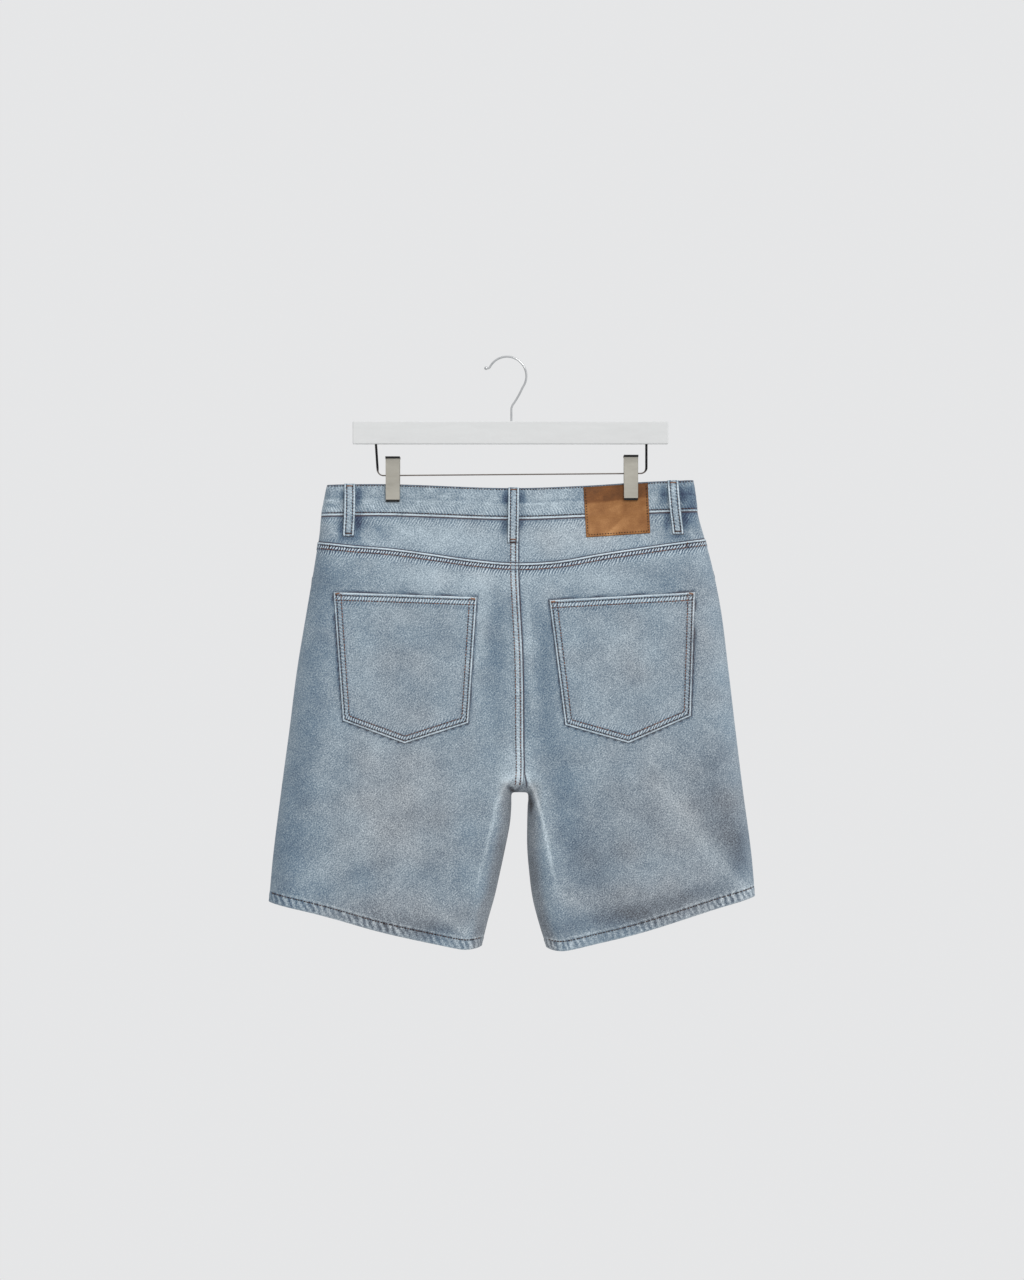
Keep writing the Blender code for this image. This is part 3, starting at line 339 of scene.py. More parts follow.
def seat(side, x, z, crown=False):
    """Points of the nominal surface and their normals. On a crown they keep half a gap."""
    at_side, at_gap = turned_away(x, z)
    rest = np.maximum(0.0, 1 - at_side**2 - at_gap**2)
    y = np.where(crown, side * CROWN_GAP / 2, side * depth(side, x, z) * np.sqrt(rest))
    h = 0.01
    slope = np.stack(
        (
            level(side, x + h, y, z) - level(side, x - h, y, z),
            level(side, x, y + h, z) - level(side, x, y - h, z),
            level(side, x, y, z + h) - level(side, x, y, z - h),
        ),
        -1,
    )
    slope /= np.linalg.norm(slope, axis=-1, keepdims=True)
    return np.stack(np.broadcast_arrays(x, y, z), -1).astype(float), slope


# ---------------------------------------------------------------- small irregular forms


def wander(t, seed):
    """A slow wave between about -1 and 1 that doesn't repeat soon."""
    t = np.asarray(t, float)
    first = np.sin(t + seed * 2.1)
    second = np.sin(t * 2.37 + seed * 5.3)
    third = np.sin(t * 0.41 + seed * 1.7)
    return (first + 0.6 * second + 0.7 * third) / 1.9


def swell(x, z, size, seed, waves=9):
    """A smooth irregular field with bumps of about the given size, mostly within -1 to 1."""
    draw = np.random.default_rng(seed)
    total = np.zeros(np.broadcast(x, z).shape)
    for _ in range(waves):
        turn = draw.uniform(0, 2 * PI)
        rate = 2 * PI / (size * draw.uniform(1.4, 3.2))
        start = draw.uniform(0, 2 * PI)
        total = total + np.sin((x * np.cos(turn) + z * np.sin(turn)) * rate + start)
    return total / np.sqrt(waves * 1.6)


# Finer creases: ridges over 0, troughs under 0.
CREASES = one_side(
    Fold, BACK,
    # wrinkles at the ends of the waistband and above the left loop
    (-210, -166, -198, -176, 3.0, 0.5), (-214, -178, -200, -184, 2.6, -0.4),
    (-176, -178, -160, -186, 3.4, 0.45), (-168, -190, -150, -194, 3.4, -0.3),
    (214, -163, 224, -174, 3.0, 0.4), (186, -170, 176, -182, 3.4, 0.35),
    # short pulls below the jaws of the clips
    (-137, -177, -136, -192, 4.0, 0.5), (-122, -178, -110, -194, 5.0, 0.45),
    (-152, -178, -166, -196, 5.0, 0.4), (-100, -180, -70, -190, 5.0, 0.3),
    # yoke, drag lines from the loops and the clips
    (-176, -205, -150, -222, 6.0, 0.7), (-160, -200, -118, -214, 7.0, -0.5),
    (186, -204, 168, -220, 6.0, 0.5), (214, -206, 228, -226, 5.0, 0.5),
    # seat beside the pockets
    (-30, -262, -28, -330, 9.0, 0.7), (-12, -290, -8, -380, 8.0, -0.6), (30, -270, 40, -350, 8.0, 0.5),
    (38, -360, 44, -450, 8.0, -0.6), (-26, -400, -30, -470, 10.0, 0.5),
    # crotch, short creases that run out from the end of the seam
    (6, -505, -8, -516, 5.0, 0.8), (8, -492, -6, -498, 4.5, -0.5), (30, -500, 40, -512, 5.0, 0.8),
    (26, -484, 38, -490, 4.5, -0.4),
    # thighs
    (178, -480, 262, -590, 10.0, 0.7), (116, -500, 170, -610, 12.0, 0.4),
    (-120, -485, -190, -560, 16.0, 0.5), (-70, -560, -90, -660, 10.0, -0.4),
    (-44, -660, -70, -690, 8.0, 0.6), (78, -660, 100, -690, 8.0, 0.6),
    (-250, -560, -262, -640, 8.0, 0.5),
    # inside the left pocket, below its hem
    (-196, -300, -184, -318, 3.6, 0.45), (-150, -301, -138, -316, 4.2, 0.35),
    (-104, -301, -96, -312, 4.0, 0.3), (-60, -302, -70, -316, 4.0, 0.3),
) + one_side(
    Fold, FRONT,
    # before: round the fly and across the hips
    (-46, -236, -30, -300, 6.0, 0.6), (34, -240, 30, -330, 6.0, 0.5), (-14, -350, -90, -330, 8.0, 0.8),
    (-12, -376, -110, -352, 9.0, -0.6), (24, -352, 104, -328, 8.0, 0.8),
    (28, -380, 120, -356, 9.0, -0.6), (-10, -424, -96, -408, 8.0, 0.6), (34, -424, 122, -410, 8.0, 0.6),
    (-6, -470, -70, -476, 8.0, 0.5), (36, -472, 104, -480, 8.0, 0.5),
    (-170, -300, -210, -330, 9.0, 0.6), (186, -300, 230, -332, 9.0, 0.6),
    (-70, -560, -90, -650, 10.0, -0.4), (90, -560, 104, -650, 10.0, -0.4),
)


def rumple(side, x, z):
    """Finer unevenness of the cloth, shared by all that lies at one place."""
    total = 0.26 * swell(x, z, 34, 5) + 0.08 * swell(x, z, 13, 9)
    total = total * (1 - 0.8 * ramp(-200, -150, z))
    for crease in CREASES:
        off, along = line_distance(x, z, crease)
        fading = 0.35 + 0.65 * np.sin(PI * along)
        here = crease.rise * fading * bell(off, 0, crease.half_width)
        total = total + np.equal(side, crease.side) * here
    return total


def lay(side, x, z, crown=False):
    """Points and normals on the rumpled surface."""
    points, normals = seat(side, x, z, crown)
    at_side, at_gap = turned_away(x, z)
    calm = np.clip((1 - at_side**2 - at_gap**2) * 3, 0, 1)
    return points + normals * (rumple(side, x, z) * calm)[..., None], normals


# ---------------------------------------------------------------- seams across cloth

# Stitched rows and the end of the doubled cloth, from the folded edge inwards; between is how
# much paler the cloth is between the rows, dark how much painted shade lies along them, worn how
# pale the folded edge is and after how much painted shadow darkens the cloth beyond the doubled part.
Seam = namedtuple("Seam", "rows end lift between dark worn after")
YOKE_FELL = Seam((3.3, 7.8), 8.9, 0.95, 0.10, 0.95, 1.30, 0.24)
CENTRE_FELL = Seam((3.6, 9.2), 10.8, 0.9, 0.45, 0.25, 0.80, 0.0)
POCKET_SIDE = Seam((3.2, 8.4), 9.8, 0.45, 0.10, 0.40, 0.85, 0.10)
POCKET_TOP = Seam((4.0, 9.7), 11.2, 0.5, 0.10, 0.60, 1.15, 0.20)
BAND_FOOT = Seam((3.2,), 6.0, 0.45, 0.2, 0.6, 1.0, 0.2)
SCOOP_FELL = Seam((2.8, 8.0), 9.4, 0.7, 0.05, 0.5, 0.9, 0.2)
INSEAM_FELL = Seam((3.0, 8.6), 10.0, 0.7, 0.1, 0.4, 0.8, 0.1)
FLY_FELL = CENTRE_FELL._replace(rows=(2.6, 8.2), lift=0.8)
HEM_ROW = 12.0

# The folded edge of the centre back seam, which laps over towards the wearer's right.
LIP = rows_of(
    CentreLine,
    (-150, 13.4), (-224, 13.8), (-259, 13.8), (-300, 15.6), (-358, 18.6), (-466, 19.8), (-505, 19.9),
    (-516, 18.4), (-521.8, 15.5),
)
# The left half laps over the right as far as these, down to the crotch.
FLY_LIP = 4.0
UNDER_LAP = 5.0
lip_x = smooth(LIP, "z", "x")


# ---------------------------------------------------------------- fading of the cloth, and painted shade

# Paler (over 0) or bluer (under 0) places: middle, half sizes, lean from upright, amount.
Fade = namedtuple("Fade", "side x z wide high lean amount")
FADES = one_side(
    Fade, BACK,
    # waistband and yoke
    (-100, -172, 120, 16, 0, 0.18), (50, -172, 45, 16, 0, 0.18), (-75, -218, 62, 20, 0, 0.44),
    (78, -216, 60, 18, 0, 0.46), (-198, -216, 30, 12, 0, -0.15),
    # seat
    (-85, -266, 70, 15, 0, 0.40), (-38, -268, 16, 16, 0, 0.26), (90, -268, 90, 14, 0, 0.32),
    (-12, -350, 10, 30, 0, -0.14), (-205, -268, 28, 16, 0, -0.38), (200, -264, 30, 18, 0, -0.30),
    # pockets
    (-170, -380, 20, 40, 0, 0.08), (-120, -370, 25, 45, 0, -0.10), (140, -352, 34, 24, 0, 0.14),
    (120, -428, 22, 14, 0, 0.10),
    # crotch
    (12, -488, 15, 26, 0, 0.55), (14, -503, 7, 9, 0, 0.60), (1, -507, 9, 4, 27, 0.62),
    (26, -503, 4, 9, 25, 0.70),
    # lower half
    (10, -600, 330, 90, 0, -0.09), (5, -600, 60, 60, 0, -0.08),
    # thighs
    (-135, -530, 60, 75, 0, 0.10), (175, -605, 22, 20, 0, 0.12), (150, -560, 60, 70, 0, -0.10),
    (60, -600, 14, 60, 0, -0.16), (-92, -690, 24, 12, 0, -0.50), (150, -670, 34, 12, 0, -0.30),
    (278, -590, 12, 26, 0, -0.34), (230, -640, 34, 9, 18, -0.36), (262, -540, 24, 60, 0, -0.10),
    # ends of the waistband
    (-214, -165, 13, 12, 0, -0.45), (-206, -183, 12, 7, 0, 0.20), (222, -168, 12, 16, 0, -1.15),
    (228, -206, 7, 9, 0, -0.45),
    # bluer round the belt loops: painted shade beside them
    (-198.5, -168, 4, 7, 0, -0.8), (-179, -164, 5, 8, 0, -1.35), (-180, -176, 3.5, 8, 0, -1.0),
    (-199, -204, 4, 12, 0, -1.3), (-180, -200, 5, 12, 0, -1.6), (-174, -198, 9, 9, 0, -0.5),
    (-188, -217.5, 12, 3.5, 0, -1.0), (-1.5, -170, 4, 10, 0, -1.7), (17.5, -168, 4.5, 10, 0, -1.35),
    (-3, -203, 4.5, 10, 0, -1.4), (17, -200, 4, 9, 0, -1.0), (189, -165, 5, 12, 0, -1.35),
    (210, -164, 5, 10, 0, -1.2), (192.5, -198, 4, 12, 0, -1.3), (213.5, -197, 5, 12, 0, -1.5),
    (222, -192, 8, 10, 0, -0.6), (205, -216, 12, 3.5, 0, -0.9),
) + one_side(
    Fade, FRONT,
    # before
    (-130, -520, 56, 90, 0, 0.42), (150, -520, 56, 90, 0, 0.42), (-120, -330, 60, 40, 30, 0.20),
    (136, -330, 60, 40, -30, 0.20), (-276, -540, 24, 160, -8, -0.55), (284, -540, 22, 160, 8, -0.50),
    (-236, -310, 20, 80, -10, -0.40), (252, -310, 20, 80, 10, -0.40), (-30, -460, 20, 60, 0, -0.25),
    # from (-98, -170) on, bluer round the front belt loops: painted shade beside them
    (50, -460, 20, 60, 0, -0.25), (-98, -170, 7, 16, 0, -0.70), (-117, -172, 7, 16, 0, -0.70),
    (110, -172, 7, 16, 0, -0.70), (129, -170, 7, 16, 0, -0.70), (-98, -208, 8, 12, 0, -0.80),
    (-118, -208, 8, 12, 0, -0.80), (110, -206, 8, 12, 0, -0.80), (130, -206, 8, 12, 0, -0.80),
)

# The same along lines, each point with its half width and amount.
Streak = namedtuple("Streak", "side path")
Spot = namedtuple("Spot", "x z half_width amount")


def streaks(side, *lines):
    return tuple(Streak(side, rows_of(Spot, *line)) for line in lines)


STREAKS = streaks(
    BACK,
    # yoke, below and beside the left loop: pale streaks, and dark ones that are painted shade of drag
    # wrinkles
    ((-214, -203, 3, 0.1), (-207, -213, 3, 0.34), (-200, -221, 3, 0.1)),
    ((-176, -214, 3, 0.30), (-166, -222, 3, 0.36), (-152, -229, 3, 0.1)),
    ((-164, -200, 4, -0.1), (-154, -206, 5, -0.42), (-144, -219, 5, -0.12)),
    ((-140, -198, 6, 0.1), (-126, -206, 7, 0.36), (-104, -214, 8, 0.1)),
    ((-128, -196, 2.5, -0.1), (-114, -201, 2.5, -0.22), (-110, -212, 2.5, -0.1)),
    ((216, -205, 3, 0.1), (222, -214, 3, 0.30), (232, -222, 3, 0.1)),
    ((184, -208, 4, 0.1), (172, -219, 4, 0.26), (160, -225, 4, 0.1)),
    # small wrinkles of the waistband's left end: two pale ridges with painted shade in the trough
    # between
    ((-218, -170, 1.6, 0.2), (-208, -174, 1.6, 0.5), (-202, -178, 1.6, 0.1)),
    ((-219, -176, 1.4, -0.2), (-209, -179, 1.4, -0.6), (-203, -181, 1.4, -0.2)),
    ((-220, -183, 1.6, 0.2), (-210, -183, 1.6, 0.4), (-202, -185, 1.6, 0.2)),
    # left outer side
    (
        (-218, -240, 14, -0.20), (-224, -290, 17, -0.36), (-236, -420, 20, -0.34),
        (-252, -540, 24, -0.42), (-272, -648, 22, -0.48),
    ),
    # beside the pockets, darker: partly painted shade of puckers, partly unfaded cloth
    ((-206, -300, 4, -0.10), (-204, -340, 4, -0.5), (-202, -380, 4, -0.5), (-201, -410, 4, 0)),
    ((222, -310, 4, -0.10), (223, -345, 4, -0.4), (222, -400, 4, -0.4), (221, -425, 4, 0)),
    # left and right of the centre seam
    ((-28, -275, 9, 0.30), (-33, -340, 8, 0.24), (-39, -380, 8, 0.08), (-42, -440, 8, 0.04)),
    (
        (-12, -285, 9, -0.12), (-13, -320, 11, -0.30), (-12, -370, 12, -0.30), (-14, -440, 13, -0.22),
        (-18, -480, 12, -0.10),
    ),
    ((22, -280, 4, 0.16), (25, -310, 4, 0.30), (29, -385, 4, 0.20), (32, -430, 5, 0.08)),
    (
        (40, -300, 9, -0.10), (46, -335, 11, -0.40), (48, -400, 12, -0.40), (46, -440, 13, -0.40),
        (62, -500, 21, -0.36), (80, -570, 22, -0.30), (100, -620, 26, -0.18),
    ),
    ((22, -395, 4, -0.1), (24, -415, 4, -0.40), (26, -455, 4, -0.15)),
    # inner thighs
    (
        (22, -502, 2.2, 0.5), (33, -522, 2.1, 1.1), (43, -556, 2.1, 1.0), (54, -614, 2.4, 0.7),
        (60, -640, 3.4, 0.25),
    ),
    (
        (31, -498, 6, 0.2), (40, -520, 8, 0.24), (50, -560, 9, 0.24), (62, -614, 10, 0.24),
        (72, -650, 11, 0.16),
    ),
    (
        (0, -509, 2, 0.3), (-12, -535, 2.1, 0.60), (-19, -568, 2.1, 0.60), (-32, -616, 2.3, 0.55),
        (-38, -640, 3, 0.15),
    ),
    ((-4, -500, 7, 0.2), (-22, -560, 8, 0.16), (-38, -612, 8, 0.14), (-46, -652, 8, 0.04)),
    # painted shade in the curl at the top of the crotch, and next the painted shadow of the front's
    # inner fold
    (
        (2.5, -516.5, 1.8, -1.2), (6, -520.5, 2.6, -1.9), (11, -522, 1.8, -1.3), (15, -519, 1.6, -0.9),
        (17, -515, 1.2, -0.4),
    ),
    ((26.5, -527, 2.2, -0.8), (29, -538, 3.0, -1.7), (28, -549, 2.2, -0.5)),
    ((-56, -590, 10, -0.04), (-57, -625, 10, -0.20), (-58, -655, 10, -0.04)),
    # painted shade down the inner edge of the right leg
    ((26, -560, 6, -0.10), (33, -610, 8, -0.26), (44, -690, 10, -0.30)),
    ((-2, -560, 7, -0.10), (-18, -620, 8, -0.16), (-34, -690, 8, -0.16)),
    ((102, -560, 24, -0.08), (108, -605, 27, -0.18), (112, -640, 24, -0.14)),
    # left thigh and hem
    ((-140, -545, 18, 0.10), (-190, -585, 17, 0.20), (-240, -622, 14, 0.08)),
    ((-140, -600, 8, -0.10), (-180, -622, 9, -0.30), (-218, -642, 9, -0.14)),
    ((-215, -655, 12, -0.10), (-160, -672, 14, -0.30), (-75, -690, 14, -0.30)),
    ((-88, -662, 7, 0.08), (-66, -677, 7, 0.32), (-46, -692, 7, 0.20)),
    # right thigh and hem
    ((172, -464, 13, 0.12), (196, -530, 14, 0.24), (240, -592, 13, 0.30), (288, -640, 11, 0.38)),
    ((100, -478, 12, 0.05), (130, -545, 13, 0.12), (152, -600, 12, 0.04)),
    ((214, -445, 14, -0.16), (238, -485, 24, -0.28), (256, -540, 27, -0.38), (280, -605, 18, -0.52)),
    ((58, -688, 12, -0.36), (110, -678, 15, -0.50), (170, -666, 14, -0.46), (262, -640, 9, -0.26)),
) + streaks(
    FRONT,
    # before
    ((2, -480, 5, 0.2), (-12, -540, 5, 0.34), (-30, -610, 6, 0.24)),
    ((28, -490, 5, 0.2), (40, -550, 5, 0.34), (52, -610, 6, 0.24)),
    ((-16, -352, 5, 0.1), (-58, -366, 6, 0.3), (-104, -380, 6, 0.1)),
    ((32, -350, 5, 0.1), (74, -364, 6, 0.3), (120, -378, 6, 0.1)),
    ((-16, -390, 5, 0.1), (-58, -400, 6, 0.26), (-104, -410, 6, 0.1)),
    ((32, -388, 5, 0.1), (74, -398, 6, 0.26), (120, -408, 6, 0.1)),
    ((-215, -652, 12, -0.1), (-150, -672, 14, -0.26), (-75, -690, 14, -0.26)),
    ((80, -690, 14, -0.30), (150, -676, 14, -0.30), (240, -652, 12, -0.1)),
)


# Places where the cloth is greyer than indigo, of any side: middle, half sizes, amount.
Wash = namedtuple("Wash", "x z wide high amount")
WASHES = rows_of(
    Wash,
    (-122, -375, 62, 68, 0.42), (140, -365, 50, 50, 0.50), (-130, -545, 78, 95, 1.0),
    (190, -545, 90, 100, 0.8), (-130, -675, 110, 26, 1.0), (180, -660, 100, 30, 1.0),
    (90, -215, 70, 18, 0.5), (230, -330, 30, 80, 0.6), (262, -560, 40, 70, 0.5),
    (100, -605, 40, 50, 0.3),
)


def greyness(x, z):
    total = 0.15 * swell(x, z, 24, 71)
    for wash in WASHES:
        total = total + wash.amount * bell(x, wash.x, wash.wide) * bell(z, wash.z, wash.high)
    at_edge = 1 - ramp(5, 19, distance_to_gap(x, z))
    return np.clip(total + 1.0 * at_edge, 0, 1)


def fading(side, x, z):
    total = 0.07 * swell(x, z, 30, 21) + 0.06 * swell(x, z, 11, 22) + 0.04 * swell(x, z, 5, 23)
    for fade in FADES:
        lean = np.radians(fade.lean)
        across = (x - fade.x) * np.cos(lean) + (z - fade.z) * np.sin(lean)
        up = (z - fade.z) * np.cos(lean) - (x - fade.x) * np.sin(lean)
        here = np.exp(-((across / fade.wide) ** 2) - (up / fade.high) ** 2)
        total = total + np.equal(side, fade.side) * fade.amount * here
    for line in STREAKS:
        most = np.zeros_like(total)
        for a, b in zip(line.path, line.path[1:]):
            off, along = line_distance(x, z, Fold(0, a.x, a.z, b.x, b.z, 0, 0))
            width = mix(a.half_width, b.half_width, along)
            most = stronger(mix(a.amount, b.amount, along) * bell(off, 0, width), most)
        total = total + np.equal(side, line.side) * most
    inner = 1 - ramp(3, 16, distance_to_gap(x, z))
    return total - 0.16 * inner * ramp(-525, -560, z) * (x < gap_middle(z))


# ---------------------------------------------------------------- meshes


def object_from(name, points, faces, attributes, finish, sharp=0.9):
    mesh = bpy.data.meshes.new(name)
    mesh.from_pydata((points * MM).tolist(), [], faces)
    for key, values in attributes.items():
        values = np.asarray(values, np.float32)
        kind = "FLOAT_VECTOR" if values.ndim == 2 else "FLOAT"
        layer = mesh.attributes.new(key, kind, "POINT")
        layer.data.foreach_set("vector" if values.ndim == 2 else "value", values.ravel())
    mesh.validate()
    mesh.update()
    mesh.shade_smooth()
    mesh.set_sharp_from_angle(angle=sharp)
    mesh.materials.append(finish)
    made = bpy.data.objects.new(name, mesh)
    bpy.context.scene.collection.objects.link(made)
    return made


# What a cloth mesh carries for its material: fading with painted shade, seam colour with painted
# shade lines, and the weights of the puckers along u, of those along v and of the hem's slanted ropes.
Marks = namedtuple("Marks", "fade line ruck")


def stacked(rows):
    """Rows of several values each, as one array of each value."""
    return [np.array(part) for part in zip(*rows)]


def ring_quads(count, sides, closed=False):
    """Faces from each ring of points to the next, and from the last to the first if closed."""
    faces = []
    for i in range(count if closed else count - 1):
        here = i * sides
        after = (i + 1) % count * sides
        for k in range(sides):
            n = (k + 1) % sides
            faces.append((here + k, here + n, after + n, after + k))
    return faces


def capped_rings(count, sides):
    last = (count - 1) * sides
    start = tuple(range(sides - 1, -1, -1))
    return [start] + ring_quads(count, sides) + [tuple(range(last, last + sides))]


def grid_faces(rows, columns, start, flip):
    i, j = np.meshgrid(np.arange(rows - 1), np.arange(columns - 1), indexing="ij")
    a = start + i * columns + j
    quads = np.stack((a, a + 1, a + columns + 1, a + columns), -1).reshape(-1, 4)
    return quads[:, ::-1] if flip else quads


def outward(points, normals):
    """True where a grid's faces already look along its normals."""
    middle_row = points.shape[0] // 2
    middle = points.shape[1] // 2
    a = points[middle_row, middle]
    across = points[middle_row, middle + 1] - a
    down = points[middle_row + 1, middle] - a
    return np.dot(np.cross(across, down), normals[middle_row, middle]) > 0


def shell(name, points, normals, top, bottom, marks, finish):
    """A closed thin wall: points moved out by top, and by bottom for its hidden side."""
    rows, columns = points.shape[:2]
    top = np.broadcast_to(top, (rows, columns))
    bottom = np.broadcast_to(bottom, (rows, columns))
    outer = (points + normals * top[..., None]).reshape(-1, 3)
    inner = (points + normals * bottom[..., None]).reshape(-1, 3)
    flip = not outward(points, normals)
    back = rows * columns
    faces = grid_faces(rows, columns, 0, flip).tolist()
    faces += grid_faces(rows, columns, back, not flip).tolist()
    rim = np.concatenate(
        (
            np.arange(columns),
            np.arange(1, rows) * columns + columns - 1,
            (rows - 1) * columns + np.arange(columns - 2, -1, -1),
            np.arange(rows - 2, 0, -1) * columns,
        )
    )
    after = np.roll(rim, -1)
    sides = np.stack((rim, rim + back, after + back, after), -1)
    faces += (sides[:, ::-1] if flip else sides).tolist()
    cloth = cloth_grid(points)
    flat = cloth.reshape(-1, 2)
    hidden = np.zeros(back)
    attributes = {
        "grey": np.tile(greyness(points[..., 0], points[..., 2]).ravel(), 2),
        "fade": np.tile(np.broadcast_to(marks.fade, (rows, columns)).ravel(), 2),
        "line": np.concatenate((np.broadcast_to(marks.line, (rows, columns)).ravel(), hidden)),
        "ruck": np.concatenate((marks.ruck.reshape(-1, 3), np.zeros((back, 3)))),
        "cloth": np.concatenate(
            (
                np.concatenate((flat, hidden[:, None]), 1),
                np.concatenate((flat, hidden[:, None] + 1), 1),
            )
        ),
    }
    return object_from(name, np.concatenate((outer, inner)), faces, attributes, finish)


def cloth_grid(points):
    """Distances over the cloth, across and down, from the middle of the grid."""
    middle = points.shape[1] // 2
    across = np.linalg.norm(np.diff(points, axis=1), axis=2)
    across = np.concatenate((np.zeros((points.shape[0], 1)), np.cumsum(across, 1)), 1)
    sign = np.sign(points[0, -1, 0] - points[0, 0, 0]) or 1.0
    u = points[:, middle, 0][:, None] + sign * (across - across[:, middle][:, None])
    v = points[..., 2]
    return np.stack((u, v), -1)


# ---------------------------------------------------------------- rows and columns of a panel

NEAR_SEAM = (
    (0, 0.05, 0.17, 0.4, 0.7, 1.1, 1.6, 2.2, 2.9, 3.6, 4.3, 5.0, 5.8, 6.6, 7.4, 8.2, 9.0, 9.8)
    + (10.8, 12, 13.6, 15.4, 17.4, 19.6, 22, 24.5, 27)
)
SIDE_TURNS = np.linspace(0, 1, 15) * PI / 2
MIDDLE_CELLS = 100
EDGE_ROWS = (0, 0.1, 0.3, 0.6, 1.0, 1.5, 2.1, 2.8, 3.6, 4.6, 5.6, 6.6, 7.6, 8.6, 9.8, 11.4, 13.4, 16)
HEM_ROWS = (
    (20, 17.5, 15.6, 14.2, 13.2, 12.6, 12, 11.4, 10.6, 9.6, 8.4, 7.2, 6.0, 4.8, 3.7, 2.7, 1.8)
    + (1.1, 0.6, 0.25, 0.05, 0)
)
UNDER_TURNS = np.linspace(1, 0.09, 14) * PI / 2
ARCH_TURNS = np.linspace(1, 0, 14) * PI / 2
ROW_STEP = 3.0

Row = namedtuple("Row", "inner outer top_bend hem_bend on_gap on_side")


def columns_of(length, last_fold):
    start = np.array(NEAR_SEAM)
    end = length - last_fold * (1 - np.cos(SIDE_TURNS[::-1]))
    between = np.linspace(start[-1], end[0], MIDDLE_CELLS + 1)[1:-1]
    return np.concatenate((start, between, end))


def crown_point(half, z):
    return Edge(float(gap_middle(z) + half * gap_half(z)), z)


def arch_point(half, turn):
    top = GAPS[0]
    across = top.half_width * np.cos(turn) ** (2 / ARCH_POWER)
    rise = top.half_width * np.sin(turn) ** (2 / ARCH_POWER)
    return Edge(top.middle + half * max(across, CROWN_GAP / 2), ARCH_Z + rise)


def hem_ends(half):
    z_in = GAPS[-1].z
    z_out = SECTIONS[-1].z
    for _ in range(8):
        z_in = float(hem_line(crown_point(half, z_in).x)) + HEM_CORNER_RISE
        z_out = float(hem_line(side_x(half, z_out)))
    return crown_point(half, z_in), Edge(float(side_x(half, z_out)), z_out)


def hem_z(side, x, z):
    at_side, at_gap = turned_away(x, z)
    rise = HEM_CORNER_RISE * at_gap**2
    if side == FRONT:
        rise = rise + FRONT_HEM_RISE * (1 - at_side) * (1 - at_gap)
    return hem_line(x) + rise


def top_edge(side, x):
    return yoke_seam(x) if side == BACK else band_seam(FRONT, x) + 2.0


def fly_lip(z):
    return centre_x(z) + FLY_LIP * (1 - ramp(SEAM_FADES, SEAM_FOOT, z))


def inner_x(side, half, z):
    """Where a body row of a panel starts: at the folded edge, or hidden below it."""
    edge = lip_x(z) if side == BACK else fly_lip(z)
    hidden = UNDER_LAP * (1 - ramp(-495, SEAM_FOOT, z)) if half == RIGHT else 0.0
    return float(edge - hidden) + (CROWN_GAP if half == RIGHT else 0.0)


def body_row(side, half, z_in, outer, weight):
    return Row(Edge(inner_x(side, half, z_in), z_in), outer, weight, 0.0, False, True)


def lower_body_rows(side, half, z_in_start, z_out_start, first_weight, steps):
    """Rows down the centre seam, steps given as drops from the start, then to the arch."""
    arch_top = arch_point(half, PI / 2).z
    z_out_end = arch_top + 6.0
    closer = arch_top + inner_fold(ARCH_Z) * (1 - np.cos(UNDER_TURNS))
    count = int(round((z_in_start - steps[-1] - closer[0]) / ROW_STEP))
    middle = np.linspace(z_in_start - steps[-1], closer[0], count + 1)[1:-1]
    heights = np.concatenate((z_in_start - np.array(steps[1:]), middle, closer))
    rows = []
    for z_in in heights:
        share = (z_in_start - z_in) / (z_in_start - arch_top)
        z_out = mix(z_out_start, z_out_end, share)
        outer = Edge(float(side_x(half, z_out)), z_out)
        rows.append(body_row(side, half, float(z_in), outer, first_weight * (1 - share) ** 2))
    return rows


def leg_rows(half):
    """Rows from the arch between the legs down to the hem."""
    hem_in, hem_out = hem_ends(half)
    side_start = arch_point(half, PI / 2).z + 6.0
    side_leg = ARCH_Z - 4.0
    rows = []

    def add_row(inner, z_out, hem_bend):
        rows.append(Row(inner, Edge(side_x(half, z_out), z_out), 0, hem_bend, True, True))

    for turn in ARCH_TURNS:
        add_row(arch_point(half, turn), mix(side_start, side_leg, 1 - turn / (PI / 2)), 0)
    top = HEM_ROWS[0]
    count = int(round((ARCH_Z - hem_in.z - top) / ROW_STEP))
    for share in np.linspace(0, 1, count + 1)[1:-1]:
        inner = crown_point(half, mix(ARCH_Z, hem_in.z + top, share))
        add_row(inner, mix(side_leg, hem_out.z + top, share), share**2)
    for rise in HEM_ROWS:
        add_row(crown_point(half, hem_in.z + rise), hem_out.z + rise, 1.0)
    return rows


def panel_grid(side, half, rows):
    """x and z of every point, and which points lie on a crown."""
    hem_in, hem_out = hem_ends(half)
    top = rows[0]
    grid = []
    for row in rows:
        run_x = float(row.outer.x - row.inner.x)
        run_z = float(row.outer.z - row.inner.z)
        length = np.hypot(run_x, run_z)
        t = columns_of(length, float(side_fold(row.outer.z))) / length
        x = row.inner.x + run_x * t
        z = row.inner.z + run_z * t
        if row.top_bend:
            top_x = mix(top.inner.x, top.outer.x, t)
            z = z + row.top_bend * (top_edge(side, top_x) - mix(top.inner.z, top.outer.z, t))
        if row.hem_bend:
            hem_x = mix(hem_in.x, hem_out.x, t)
            chord = mix(hem_in.z, hem_out.z, t)
            z = z + row.hem_bend * (hem_z(side, hem_x, chord) - chord)
        crown = np.zeros(len(t), bool)
        crown[0] = row.on_gap
        crown[-1] = row.on_side
        grid.append((x, z, crown))
    return stacked(grid)


def along_columns(points, upward=False):
    """Length along each column from the first row, or from the last."""
    steps = np.linalg.norm(np.diff(points, axis=0), axis=2)
    zero = np.zeros((1, points.shape[1]))
    if upward:
        return np.concatenate((np.cumsum(steps[::-1], 0)[::-1], zero), 0)
    return np.concatenate((zero, np.cumsum(steps, 0)), 0)


def along_rows(points, inward=False):
    """Length along each row from the first column, or from the last."""
    return along_columns(points.transpose(1, 0, 2), inward).T


# ---------------------------------------------------------------- puckers


